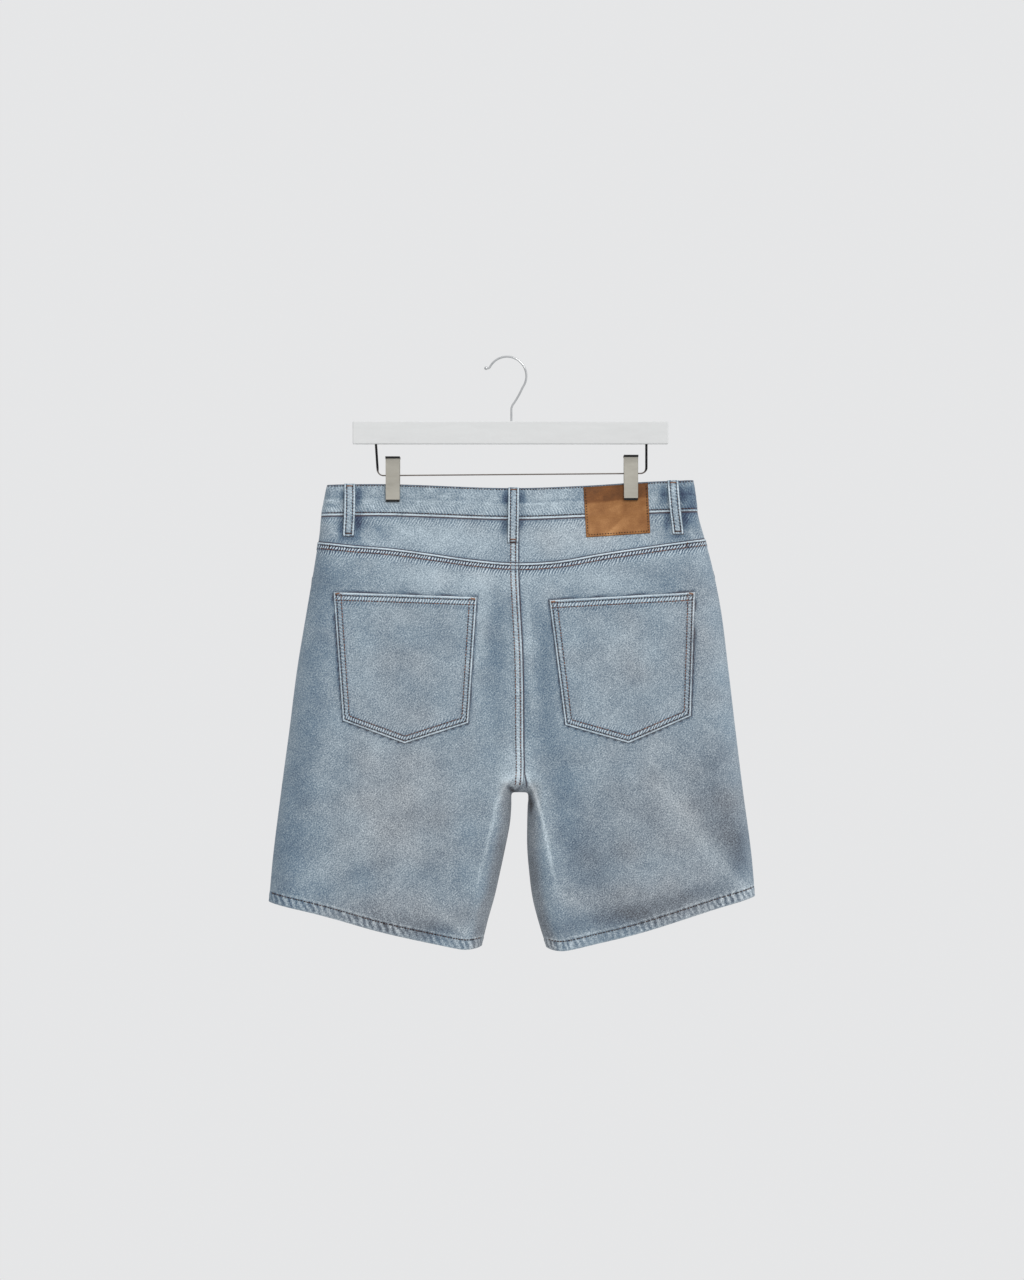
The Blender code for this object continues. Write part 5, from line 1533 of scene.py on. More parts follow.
def capsules(starts, ends, ups, radius):
    """Short threads: 5 sides, two rings and two ends each."""
    along = ends - starts
    length = np.linalg.norm(along, axis=1, keepdims=True)
    along = along / length
    across = np.cross(along, ups)
    across /= np.linalg.norm(across, axis=1, keepdims=True)
    ups = np.cross(across, along)
    count = len(starts)
    sides = 5
    rings = []
    for share in (0.2, 0.8):
        middle = starts + (ends - starts) * share
        for k in range(sides):
            turn = 2 * PI * k / sides
            rings.append(middle + radius * (across * np.cos(turn) + ups * np.sin(turn)))
    sink = ups * radius * 0.9
    points = np.stack(rings + [starts - sink, ends - sink], 1)
    each = 2 * sides + 2
    faces = []
    for k in range(sides):
        n = (k + 1) % sides
        faces.append((k, n, sides + n, sides + k))
        faces.append((2 * sides, n, k, k))
        faces.append((2 * sides + 1, sides + k, sides + n, sides + n))
    pattern = np.array(faces)
    all_faces = (pattern[None] + (np.arange(count) * each)[:, None, None]).reshape(-1, 4)
    listed = [tuple(f[:3]) if f[2] == f[3] else tuple(f) for f in all_faces.tolist()]
    return points.reshape(-1, 3), listed, each


class Thread:
    """All stitches of one colour on one piece of the garment."""

    def __init__(self, name, finish, radius=0.64, seed=1):
        self.name = name
        self.finish = finish
        self.radius = radius
        self.draw = np.random.default_rng(seed)
        self.starts = []
        self.ends = []
        self.ups = []

    def put(self, store, side, x, z, lift):
        points, normals = lay(side, x, z)
        height = lift(x, z) if callable(lift) else lift
        store.append(points + normals * np.broadcast_to(height, x.shape)[:, None])
        return normals

    def line(self, side, path, lift, gauge=3.4, share=0.86):
        """A row of stitches along a path of (x, z) points. lift is a height or a function."""
        path = np.array(path, float)
        steps = np.hypot(*np.diff(path, axis=0).T)
        length = np.concatenate(([0], np.cumsum(steps)))
        count = max(1, int(length[-1] / gauge))
        at = (np.arange(count) + 0.1) * length[-1] / count
        at = at + self.draw.normal(0, 0.12, count)
        run = length[-1] / count * share * (1 + self.draw.normal(0, 0.06, count))
        for where, store in ((at, self.starts), (at + run, self.ends)):
            x = np.interp(where, length, path[:, 0])
            z = np.interp(where, length, path[:, 1])
            normals = self.put(store, side, x + self.draw.normal(0, 0.10, count), z, lift)
        self.ups.append(normals)

    def tack(self, side, x, z, wide, high, lift, lean=0.0):
        """A dense bar of threads. lean turns it from level."""
        count = max(1, int(high / 0.55))
        turn = np.radians(lean)
        off = (np.arange(count) - (count - 1) / 2) * 0.55
        for end, store in ((-wide / 2, self.starts), (wide / 2, self.ends)):
            reach = end * (1 + self.draw.normal(0, 0.05, count))
            px = x + reach * np.cos(turn) - off * np.sin(turn)
            pz = z + reach * np.sin(turn) + off * np.cos(turn)
            normals = self.put(store, side, px, pz, lift)
        self.ups.append(normals)

    def build(self):
        starts = np.concatenate(self.starts)
        ends = np.concatenate(self.ends)
        ups = np.concatenate(self.ups)
        points, faces, each = capsules(starts, ends, ups, self.radius)
        tone = np.repeat(self.draw.uniform(0, 1, len(starts)), each)
        piece = object_from(self.name, points, faces, {"tone": tone}, self.finish, 3.2)
        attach(piece, "root")


def straight(a, b, count=60):
    t = np.linspace(0, 1, count)
    return np.stack((mix(a[0], b[0], t), mix(a[1], b[1], t)), 1)


def corner_in(a, b, c, inward):
    """The corner of two edges a-b and b-c, each moved to its right by inward."""
    first = np.array([b.x - a.x, b.z - a.z])
    second = np.array([c.x - b.x, c.z - b.z])
    first /= np.linalg.norm(first)
    second /= np.linalg.norm(second)
    n1 = np.array([first[1], -first[0]])
    n2 = np.array([second[1], -second[0]])
    middle = (n1 + n2) / (1 + n1 @ n2)
    return np.array([b.x, b.z]) + middle * inward


def sew_pocket(thread_a, thread_b, tacks, pocket):
    corners = [pocket.top_in, pocket.foot_in, pocket.tip, pocket.foot_out, pocket.top_out]
    if pocket.top_in.x < 0:
        corners = corners[::-1]
    # the corners now run down the left side, along the foot and up the right side
    height = POCKET_GAP + POCKET_CLOTH + 0.12

    def lift(x, z):
        top, others = pocket_distances(pocket, x, z)
        across = (x - pocket.top_in.x) / (pocket.top_out.x - pocket.top_in.x)
        return height + pocket_mouth(across, top, np.minimum.reduce(others))

    for thread, inward in zip((thread_a, thread_b), POCKET_SIDE.rows):
        turns = [corner_in(*(corners[(k + i) % 5] for i in (-1, 0, 1)), -inward) for k in range(5)]
        turns[0][1] = corners[0].z - 1.5
        turns[4][1] = corners[4].z - 1.5
        for a, b in zip(turns, turns[1:]):
            thread.line(BACK, straight(a, b), lift, gauge=3.3)
    slope = (corners[4].z - corners[0].z) / (corners[4].x - corners[0].x)
    for thread, inward in zip((thread_a, thread_b), POCKET_TOP.rows):
        a = (corners[0].x + 2.0, corners[0].z - inward + slope * 2.0)
        b = (corners[4].x - 2.0, corners[4].z - inward - slope * 2.0)
        thread.line(BACK, straight(a, b), lift, gauge=3.3)
    for corner, inner, lean in ((corners[0], 5.0, 8), (corners[4], -5.0, -8)):
        tacks.tack(BACK, corner.x + inner, corner.z - 2.2, 7.5, 1.8, height + 0.15, lean)


STITCH_SINK = 0.02


def sew_back(thread_a, thread_b):
    lift = YOKE_FELL.lift - STITCH_SINK
    for ends, x_tack in (((-223.5, 4.0), -213.0), ((15.2, 238.0), 216.5)):
        x = np.linspace(*ends, 120)
        for thread, row in zip((thread_a, thread_b), YOKE_FELL.rows):
            thread.line(BACK, np.stack((x, yoke_seam(x) - row), 1), lift, gauge=3.1)
        thread_a.tack(BACK, x_tack, float(yoke_seam(x_tack)) - 4.4, 7.0, 0.6, lift + 0.1, 86)
    z = np.linspace(-197.0, -514.0, 160)
    for row in CENTRE_FELL.rows:
        thread_b.line(BACK, np.stack((lip_x(z) - row, z), 1), CENTRE_FELL.lift, gauge=3.3)


def sew_band(thread):
    x = np.linspace(-216.0, 224.0, 200)
    for side in (BACK, FRONT):
        for z in (band_seam(side, x) + BAND_FOOT.rows[0], waist_top(side, x) - 2.0):
            thread.line(side, np.stack((x, z), 1), BAND_PROUD - 0.15, gauge=3.4)


def sew_loops(thread_a, tacks):
    down = np.linspace(0.03, 0.97, 40)
    for loop in LOOPS:
        for across in (-0.27, 0.27):
            x, z, lift, _, length = loop_grid(loop, down, np.array([[across]]))

            def height(_, at, z=z[:, 0], lift=lift):
                return np.interp(-at, -z, lift + LOOP_CLOTH - 0.28)

            thread_a.line(loop.side, np.stack((x[:, 0], z[:, 0]), 1), height, gauge=3.2)
        bars = [(tacks, 2.8), (thread_a, length - 3.4)]
        if loop.name == "belt_loop_back_centre":
            bars = [(tacks, 2.8), (tacks, length - 4.6), (thread_a, length - 1.2)]
        for thread, drop in bars:
            x, z, lift, *_ = loop_grid(loop, np.array([drop / length]), np.array([[0.0]]))
            top = float(lift[0]) + LOOP_CLOTH - 0.1
            thread.tack(loop.side, float(x[0, 0]), float(z[0, 0]), LOOP_WIDTH - 4.0, 1.2, top)


def sew_hems(thread):
    for half in (LEFT, RIGHT):
        hem_in, hem_out = hem_ends(half)
        x = np.linspace(hem_in.x + half * 1.2, hem_out.x - half * 0.8, 200)
        chord = mix(hem_in.z, hem_out.z, (x - hem_in.x) / (hem_out.x - hem_in.x))
        for side in (BACK, FRONT):
            z = hem_z(side, x, chord) + HEM_ROW
            thread.line(side, np.stack((x, z), 1), 0.0, gauge=3.3)


FLY_FOOT = -345.0


def sew_front(thread_a, thread_b):
    turns = np.linspace(0.10, 1.50, 90)
    for half in (LEFT, RIGHT):
        for thread, grow in zip((thread_a, thread_b), SCOOP_FELL.rows):
            path = [scoop_point(half, turn, grow) for turn in turns]
            path = [(p.x, p.z) for p in path if p.z < band_seam(FRONT, p.x) - 0.5]
            thread.line(FRONT, path, SCOOP_FELL.lift, gauge=3.2)
    z = np.linspace(-197.0, -505.0, 150)
    for thread, row in zip((thread_b, thread_a), FLY_FELL.rows):
        path = np.stack((fly_lip(z) - row, z), 1)
        thread.line(FRONT, path, FLY_FELL.lift - STITCH_SINK, gauge=3.3)
    # the curved double row of the fly
    bend = np.linspace(0, PI / 2, 24)[1:-2]
    for thread, wide in ((thread_a, 33.0), (thread_b, 27.5)):
        path = [(float(centre_x(h)) - wide, float(h)) for h in np.linspace(-198.0, FLY_FOOT, 50)]
        curve_x = centre_x(FLY_FOOT + 0 * bend) - wide * np.cos(bend)
        path += zip(curve_x, FLY_FOOT - 28.0 * np.sin(bend) * wide / 33.0)
        thread.line(FRONT, path, 0.1, gauge=3.2)
    thread_b.tack(FRONT, float(centre_x(-362)) - 3.0, -366.0, 9.0, 2.4, 0.9, 60)


PATCH_STITCHES = ((0.028, 0.03), (0.028, 0.96), (0.972, 0.96), (0.972, 0.03))


def sew_patch(thread):
    corners = [patch_point(np.float64(across), np.float64(down)) for across, down in PATCH_STITCHES]
    for start, end in zip(corners, corners[1:]):
        thread.line(BACK, straight(start, end), patch_lift, gauge=3.2, share=0.62)


def sew():
    slate = Thread("stitches_slate", THREAD_SLATE, seed=3)
    rust = Thread("stitches_rust", THREAD_RUST, seed=4)
    tacks = Thread("stitches_tacks", THREAD_TACK, radius=0.5, seed=5)
    tan = Thread("stitches_patch", THREAD_TAN, radius=0.62, seed=6)
    sew_back(slate, rust)
    for pocket in POCKETS:
        sew_pocket(slate, rust, tacks, pocket)
    sew_band(slate)
    sew_loops(slate, tacks)
    sew_hems(slate)
    sew_front(slate, rust)
    sew_patch(tan)
    for thread in (slate, rust, tacks, tan):
        thread.build()


# ---------------------------------------------------------------- materials


def linear(colour):
    """An sRGB colour of 0 to 255 as linear light."""
    share = np.array(colour, float) / 255
    return tuple(np.where(share <= 0.04045, share / 12.92, ((share + 0.055) / 1.055) ** 2.4))


class Graph:
    """A short way to write node trees. Sockets and numbers mix freely."""

    def __init__(self, owner, shader="Principled BSDF"):
        owner.use_nodes = True
        self.tree = owner.node_tree
        self.shader = self.tree.nodes[shader]

    def put(self, socket, value):
        if isinstance(value, bpy.types.NodeSocket):
            self.tree.links.new(value, socket)
        elif value is not None:
            socket.default_value = value

    def add(self, kind, inputs=(), **settings):
        made = self.tree.nodes.new(kind)
        for key, value in settings.items():
            setattr(made, key, value)
        for key, value in dict(inputs).items():
            self.put(made.inputs[key], value)
        return made

    def math(self, operation, a, b=None, c=None):
        made = self.add("ShaderNodeMath", operation=operation)
        for socket, value in zip(made.inputs, (a, b, c)):
            self.put(socket, value)
        return made.outputs[0]

    def sum(self, *terms):
        total = terms[0]
        for term in terms[1:]:
            total = self.math("ADD", total, term)
        return total

    def times(self, a, b):
        return self.math("MULTIPLY", a, b)

    def weighted(self, start, *terms):
        """A start and each value times its weight."""
        return self.sum(start, *(self.times(value, weight) for value, weight in terms))

    def wave(self, phase):
        return self.math("SINE", self.times(phase, 2 * PI))

    def vector(self, x, y, z=0.0):
        made = self.add("ShaderNodeCombineXYZ")
        for socket, value in zip(made.inputs, (x, y, z)):
            self.put(socket, value)
        return made.outputs[0]

    def place(self, a, b, scale_a, scale_b, layer=0.0):
        return self.vector(self.times(a, scale_a), self.times(b, scale_b), layer)

    def split(self, vector):
        return self.add("ShaderNodeSeparateXYZ", {0: vector}).outputs

    def span(self, value, low, high, start=0.0, end=1.0, kind="LINEAR"):
        """A value from low to high as start to end, held beyond them."""
        ends = {"From Min": low, "From Max": high, "To Min": start, "To Max": end}
        made = self.add("ShaderNodeMapRange", {"Value": value, **ends}, interpolation_type=kind)
        return made.outputs[0]

    def noise(self, vector, scale=1.0, detail=2.0, roughness=0.5):
        """About -0.5 to 0.5."""
        made = self.add(
            "ShaderNodeTexNoise",
            {"Vector": vector, "Scale": scale, "Detail": detail, "Roughness": roughness},
        )
        return self.math("SUBTRACT", made.outputs["Fac"], 0.5)

    def attribute(self, name, output="Fac"):
        return self.add("ShaderNodeAttribute", attribute_name=name).outputs[output]

    def where(self):
        return self.add("ShaderNodeTexCoord").outputs["Object"]

    def ramp(self, value, stops):
        made = self.add("ShaderNodeValToRGB", {"Fac": value})
        stock = made.color_ramp.elements
        while len(stock) < len(stops):
            stock.new(0.5)
        for element, (position, colour) in zip(stock, stops):
            element.position = position
            element.color = (*linear(colour), 1)
        return made.outputs["Color"]

    def blend(self, share, a, b, mode="MIX"):
        made = self.add("ShaderNodeMix", data_type="RGBA", blend_type=mode)
        self.put(made.inputs[0], share)
        self.put(made.inputs[6], a)
        self.put(made.inputs[7], b)
        return made.outputs[2]

    def bump(self, height, distance, strength=1.0):
        made = self.add("ShaderNodeBump", {"Height": height, "Strength": strength})
        made.inputs["Distance"].default_value = distance
        self.put(self.shader.inputs["Normal"], made.outputs["Normal"])

    def finish(self, **sockets):
        for key, value in sockets.items():
            self.put(self.shader.inputs[key.replace("_", " ")], value)


# Colours of the cloth from unfaded to worn white, as albedo: blue, greyed, and inside out.
INDIGO = (
    (0.00, (52, 62, 88)),
    (0.20, (75, 93, 114)),
    (0.40, (102, 123, 141)),
    (0.55, (131, 146, 158)),
    (0.75, (168, 183, 193)),
    (1.00, (204, 218, 227)),
)
GREYED = (
    (0.00, (48, 45, 46)),
    (0.20, (82, 85, 92)),
    (0.40, (110, 118, 127)),
    (0.55, (137, 145, 153)),
    (0.75, (175, 182, 187)),
    (1.00, (214, 219, 224)),
)
INSIDE = ((0.2, (120, 132, 150)), (0.55, (168, 176, 187)), (0.9, (205, 209, 214)))
# The brown that the deepest painted shade lines of the seams turn to.
SHADE_LINE_BROWN = (78, 60, 58)
LEATHER_TONES = (
    (0.0, (80, 45, 10)),
    (0.3, (118, 71, 28)),
    (0.6, (148, 100, 54)),
    (0.85, (176, 127, 79)),
    (1.0, (198, 154, 108)),
)


Weave = namedtuple("Weave", "fleck clump patch slub twill puckers rope")


def denim_weave(g, u, v):
    """Specks and clumps on the bias, slubs down the cloth, puckers and the hem's ropes."""
    ruck = g.split(g.attribute("ruck", "Vector"))
    along = g.sum(u, v)
    across = g.math("SUBTRACT", v, u)
    fleck = g.noise(g.place(along, across, 0.40, 0.50), 1.0, 1.5, 0.5)
    clump = g.noise(g.place(along, across, 0.085, 0.13, 7.0), 1.0, 2.0, 0.55)
    patch = g.noise(g.place(u, v, 0.028, 0.028, 3.0), 1.0, 3.0, 0.55)
    slub = g.noise(g.place(u, v, 0.95, 0.055, 5.0), 1.0, 2.0, 0.6)
    twill = g.wave(g.times(across, 0.78))
    drift = g.times(g.noise(g.place(u, v, 0.10, 0.10, 1.0)), 1.5)
    level_puckers = g.wave(g.sum(g.times(u, 0.285), g.times(v, -0.16), drift))
    upright_puckers = g.wave(g.sum(g.times(v, 0.24), g.times(u, 0.10), drift))
    puckers = g.sum(g.times(level_puckers, ruck[0]), g.times(upright_puckers, ruck[1]))
    slant = g.wave(g.sum(g.times(u, 0.120), g.times(v, 0.048), g.times(drift, 0.9)))
    rope = g.times(g.sum(slant, g.times(clump, 1.6)), ruck[2])
    return Weave(fleck, clump, patch, slub, twill, puckers, rope)


def paint_denim(name):
    material = bpy.data.materials.new(name)
    g = Graph(material)
    u, v, inside = g.split(g.attribute("cloth", "Vector"))
    fade = g.attribute("fade")
    line = g.attribute("line")
    w = denim_weave(g, u, v)
    marks = ((fade, 0.30), (line, 0.33))
    noises = ((w.fleck, 1.02), (w.clump, 0.22), (w.patch, 0.20), (w.slub, 0.16))
    waves = ((w.puckers, 0.34), (w.rope, 0.22), (w.twill, 0.025))
    value = g.weighted(0.575, *marks, *noises, *waves)
    outer = g.blend(g.attribute("grey"), g.ramp(value, INDIGO), g.ramp(value, GREYED))
    # deep painted shade lines in the seam colour turn brown
    outer = g.blend(g.span(line, -0.35, -1.25, 0.0, 0.7), outer, (*linear(SHADE_LINE_BROWN), 1))
    inner_value = g.weighted(0.55, (w.fleck, 0.8), (w.slub, 0.3), (fade, 0.1))
    g.finish(
        Base_Color=g.blend(inside, outer, g.ramp(inner_value, INSIDE)),
        Roughness=0.92,
        Specular_IOR_Level=0.22,
        Sheen_Weight=0.12,
        Sheen_Roughness=0.6,
    )
    relief = ((w.fleck, 0.30), (w.clump, 0.16), (w.slub, 0.10), (w.puckers, 0.16), (w.twill, 0.05))
    g.bump(g.weighted(0.0, *relief), 0.001, 1.0)
    return material


def paint_leather(name):
    material = bpy.data.materials.new(name)
    g = Graph(material)
    across, down, _ = g.split(g.attribute("ruck", "Vector"))
    spot = g.place(across, down, PATCH_WIDTH, PATCH_HEIGHT)
    grain = g.noise(spot, 0.9, 3.0, 0.6)
    blotch = g.noise(spot, 0.055, 3.0, 0.5)
    crease = g.noise(g.place(across, down, 14, 30), 1.0, 4.0, 0.6)
    # the upper third is darker: painted shade where the patch tilts back under the clip
    lower = g.span(g.weighted(down, (across, 0.05), (blotch, 0.05)), 0.30, 0.36, kind="SMOOTHSTEP")
    value = g.weighted(
        0.57,
        (grain, 0.50),
        (blotch, 0.75),
        (g.attribute("line"), 0.20),
        (crease, 0.20),
        (g.math("SUBTRACT", 1.0, lower), -0.36),
        (g.math("SUBTRACT", across, 0.5), -0.10),
    )
    rim = g.span(g.attribute("fade"), 0.0, 1.2, 0.22, 0.0)
    colour = g.ramp(g.math("SUBTRACT", value, rim), LEATHER_TONES)
    g.finish(Base_Color=colour, Roughness=0.62, Specular_IOR_Level=0.35)
    g.bump(g.sum(g.times(grain, 0.25), g.times(crease, 0.35)), 0.001, 0.8)
    return material


def paint_thread(name, dark, middle, light):
    material = bpy.data.materials.new(name)
    g = Graph(material)
    where = g.where()
    tone = g.weighted(g.attribute("tone"), (g.noise(where, 700.0, 2.0, 0.6), 0.7))
    colour = g.ramp(tone, ((0.0, dark), (0.5, middle), (1.0, light)))
    g.finish(Base_Color=colour, Roughness=0.75, Specular_IOR_Level=0.3)
    g.bump(g.noise(where, 2600.0, 1.0), 0.0002, 0.6)
    return material


def paint_plain(name, dark, light, roughness, metallic=0.0, scale=60.0, stretch=1.0, bump=0.1):
    """A finish of two near tones with fine unevenness in colour, gloss and relief."""
    material = bpy.data.materials.new(name)
    g = Graph(material)
    stretched = {"Vector": g.where(), "Scale": (stretch, 1.0, 1.0)}
    where = g.add("ShaderNodeMapping", stretched).outputs[0]
    coarse = g.noise(where, scale, 4.0, 0.6)
    fine = g.noise(where, scale * 9, 2.0, 0.6)
    value = g.weighted(0.5, (coarse, 1.3), (fine, 0.5))
    g.finish(
        Base_Color=g.ramp(value, ((0.1, dark), (0.9, light))),
        Roughness=g.weighted(roughness, (coarse, 0.25)),
        Metallic=metallic,
    )
    g.bump(g.weighted(coarse, (fine, 0.4)), 0.0006, bump)
    return material


def paint_wire(name):
    """Bare greyish steel, black where it is coated."""
    material = bpy.data.materials.new(name)
    g = Graph(material)
    mottle = g.noise(g.where(), 300.0, 3.0, 0.6)
    shade = g.sum(mottle, 0.5)
    bare = g.ramp(shade, ((0.2, (96, 88, 84)), (0.8, (128, 119, 113))))
    coat = g.ramp(shade, ((0.2, (8, 8, 9)), (0.8, (20, 20, 22))))
    colour = g.blend(g.attribute("tone"), bare, coat)
    g.finish(Base_Color=colour, Roughness=0.6, Specular_IOR_Level=0.15)
    g.bump(mottle, 0.0003, 0.2)
    return material


DENIM = paint_denim("denim")
SKIN = paint_leather("patch_leather")
THREAD_SLATE = paint_thread("thread_slate", (38, 27, 28), (60, 43, 41), (90, 70, 64))
THREAD_RUST = paint_thread("thread_rust", (64, 38, 33), (96, 58, 46), (138, 94, 72))
THREAD_TAN = paint_thread("thread_tan", (46, 30, 20), (74, 48, 32), (104, 72, 48))
THREAD_TACK = paint_thread("thread_tack", (98, 68, 56), (132, 96, 78), (166, 130, 110))
FRAME_STEEL = paint_wire("frame_wire")
WHITE = paint_plain(
    "white_gloss", (204, 205, 205), (216, 217, 217), 0.42, scale=18.0, stretch=0.2, bump=0.12
)
CHROME = paint_plain("chrome_wire", (176, 178, 180), (206, 207, 208), 0.16, 1.0, 90.0, bump=0.04)
DARK = paint_plain("dark_wire", (52, 52, 54), (84, 84, 86), 0.38, 1.0, 120.0, bump=0.08)
PLATE = paint_plain(
    "clip_steel", (160, 156, 146), (184, 181, 171), 0.5, 0.55, scale=40.0, stretch=0.3, bump=0.05
)
RUBBER = paint_plain("black_rubber", (7, 7, 8), (18, 18, 19), 0.85, scale=300.0, bump=0.25)
BRASS = paint_plain("button_metal", (120, 112, 98), (170, 160, 142), 0.4, 1.0, 260.0, bump=0.2)


# ---------------------------------------------------------------- the hanger and the button


ALONG_X = np.array([1.0, 0.0, 0.0])
ALONG_Y = np.array([0.0, 1.0, 0.0])
ALONG_Z = np.array([0.0, 0.0, 1.0])


def circle(sides):
    return 2 * PI * np.arange(sides) / sides


def turned_points(rings, sides, foot, out, first):
    """Rings of a radius and a height each, round a line from foot along out."""
    second = np.cross(out, first)
    points = []
    for radius, height in rings:
        for turn in circle(sides):
            flat = first * np.cos(turn) + second * np.sin(turn)
            points.append(foot + flat * radius + out * height)
    return np.array(points)


def tube(name, path, radii, finish, sides=18, tone=0.0):
    """A round wire along a path in the XZ plane."""
    path = np.array(path, float)
    along = np.gradient(path, axis=0)
    along /= np.linalg.norm(along, axis=1, keepdims=True)
    third = np.cross(along, ALONG_Y)
    radii = np.broadcast_to(radii, len(path))[:, None]
    rings = [path + radii * (ALONG_Y * np.cos(t) + third * np.sin(t)) for t in circle(sides)]
    points = np.stack(rings, 1).reshape(-1, 3)
    tones = np.repeat(np.broadcast_to(tone, len(path)), sides)
    faces = capped_rings(len(path), sides)
    return object_from(name, points, faces, {"tone": tones}, finish, 0.7)


def place_hardware(piece, slot, *nodes):
    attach(piece, "root")
    if nodes:
        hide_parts(*nodes)


BAR_TOP = -76.8
BAR_BOTTOM = -104.3
# how deep the stem and the wire's ends sit in the bar
IN_BAR = 9.6
HOOK_WIRE = 2.6
HOOK_RADIUS = 23.3
STEM_X = 5.3
HOOK_KNEE = -59.0
HOOK_ARC = (-0.62, 2.62)
HOOK_BALL = 2.2
FRAME_LEG = 2.9
FRAME_WIRE = 1.6
FRAME_LEFT = -158.0
FRAME_RIGHT = 168.0
FRAME_FEET = (-142.1, -139.5)
FRAME_BEND = 7.0
# how far the left leg leans in
FRAME_LEAN = 2.0
BARREL_RADIUS = 6.5
BARREL_LENGTH = 13.0


def build_hook():
    middle = np.array([0, 0, HOOK_WIRE / 2 - HOOK_RADIUS])

    def on_arc(turn):
        return middle + np.array([np.cos(turn), 0, np.sin(turn)]) * HOOK_RADIUS

    knee = np.array([STEM_X, 0, HOOK_KNEE])
    neck_end = on_arc(HOOK_ARC[0])
    path = [np.array([STEM_X, 0, h]) for h in (BAR_TOP - IN_BAR, BAR_TOP, -70.0, -64.2, -61.0)]
    for share in np.linspace(0, 1, 14)[1:-1]:
        path.append(mix(knee, neck_end, share) + np.array([0.9 * np.sin(PI * share), 0, 0]))
    path += [on_arc(turn) for turn in np.linspace(*HOOK_ARC, 72)]
    tip = path[-1]
    path += [tip + np.array(step) for step in ((-0.6, 0, -1.1), (-1.6, 0, -2.0), (-3.6, 0, -2.5))]
    radii = [HOOK_WIRE / 2] * len(path)
    ball = path[-1] + np.array([-HOOK_BALL * 0.7, 0, 0.2])
    for turn in np.linspace(0.66, PI - 0.1, 12):
        path.append(ball + np.array([np.cos(turn) * HOOK_BALL, 0, 0]))
        radii.append(HOOK_BALL * np.sin(turn))
    place_hardware(tube("hook_wire", path, radii, CHROME), "chrome", "hanger_hook")


def frame_foot(x):
    share = (x - FRAME_LEFT) / (FRAME_RIGHT - FRAME_LEFT)
    return mix(*FRAME_FEET, share)


def build_frame_wire():
    top = BAR_BOTTOM + IN_BAR
    path = [(FRAME_LEFT, 0, top), (FRAME_LEFT, 0, BAR_BOTTOM)]
    bend = FRAME_FEET[0] + FRAME_BEND
    path += [(FRAME_LEFT + FRAME_LEAN * t, 0, mix(BAR_BOTTOM, bend, t)) for t in (0.3, 0.6, 0.9)]
    for x, foot, start in (
        (FRAME_LEFT + FRAME_LEAN + FRAME_BEND, FRAME_FEET[0], PI),
        (FRAME_RIGHT - FRAME_BEND, FRAME_FEET[1], PI * 3 / 2),
    ):
        for turn in np.linspace(start, start + PI / 2, 14):
            centre = foot + FRAME_BEND
            path.append((x + np.cos(turn) * FRAME_BEND, 0, centre + np.sin(turn) * FRAME_BEND))
    bend = FRAME_FEET[1] + FRAME_BEND
    path += [(FRAME_RIGHT, 0, mix(bend, BAR_BOTTOM, t)) for t in (0.1, 0.4, 0.7)]
    path += [(FRAME_RIGHT, 0, BAR_BOTTOM), (FRAME_RIGHT, 0, top)]
    # the legs are coated, so thicker and black
    on_leg = ramp(FRAME_FEET[0] + 2, FRAME_FEET[0] + 9, np.array([point[2] for point in path]))
    radii = mix(FRAME_WIRE / 2, FRAME_LEG / 2, on_leg)
    wire = tube("frame_wire", path, radii, FRAME_STEEL, 14, on_leg)
    place_hardware(wire, "dark_steel", "hanger_wire")


def strip(name, side, profile, low, high, finish, rounding=0.35):
    """A profile of (y, z) points pulled out along X, with softened edges."""
    count = len(profile)
    points = np.array([(x, side * y, z) for x in (low, high) for y, z in profile], float)
    faces = [tuple(range(count)), tuple(range(2 * count - 1, count - 1, -1))]
    made = object_from(name, points, faces + ring_quads(2, count), {}, finish, 0.6)
    soft = made.modifiers.new("rounding", "BEVEL")
    soft.width = rounding * MM
    soft.segments = 2
    soft.limit_method = "ANGLE"
    return made


# Distances from the middle plane of a clip's jaw lining, its steel, its arm and its upper end.
Jaw = namedtuple("Jaw", "lining steel arm top z_foot z_wire z_top")
STEEL = 1.1
SPRING_WIRE = 0.62
SPRING_TURNS = 9


def jaw_of(clip, side):
    cloth = CLIP_DEPTH + BAND_PROUD
    if side == BACK and clip.name == "clip_right":
        cloth += PATCH_GAP + LEATHER
    lining = cloth + 0.3
    steel = lining + 1.2
    arm = BARREL_RADIUS + 0.3
    top = arm + (arm - steel) * 0.6 + 0.8
    z_foot = clip.z_top - CLIP_HEIGHT
    return Jaw(lining, steel, arm, top, z_foot, float(frame_foot(clip.x)), clip.z_top)


def plate_profile(jaw):
    jaw_end = jaw.z_foot + 9.6
    arm_low, arm_high = jaw.z_wire - 3.0, jaw.z_wire + 3.0
    bend = jaw.z_top - 3.5
    inner = [
        (jaw.steel, jaw.z_foot + 1.5),
        (jaw.steel, jaw_end),
        (mix(jaw.steel, jaw.arm, 0.45), mix(jaw_end, arm_low, 0.52)),
        (jaw.arm, arm_low),
        (jaw.arm, arm_high),
        (mix(jaw.arm, jaw.top, 0.6), mix(arm_high, bend, 0.55)),
        (jaw.top, bend),
        (jaw.top + 1.2, jaw.z_top - 1.2),
        (jaw.top + 2.0, jaw.z_top - 0.3),
    ]
    return inner + [(y + STEEL, z) for y, z in reversed(inner)]


def pad_profile(jaw):
    """The lining of a jaw, hooked round the foot of its steel."""
    at_steel = ((0.1, 9.2), (0.1, 1.4), (1.3, 1.4), (1.8, -0.2), (1.0, -1.1))
    profile = [(jaw.lining - 0.1, jaw.z_foot + 0.2), (jaw.lining - 0.1, jaw.z_foot + 9.2)]
    profile += [(jaw.steel + y, jaw.z_foot + z) for y, z in at_steel]
    return profile + [(jaw.lining + 0.3, jaw.z_foot - 0.9)]


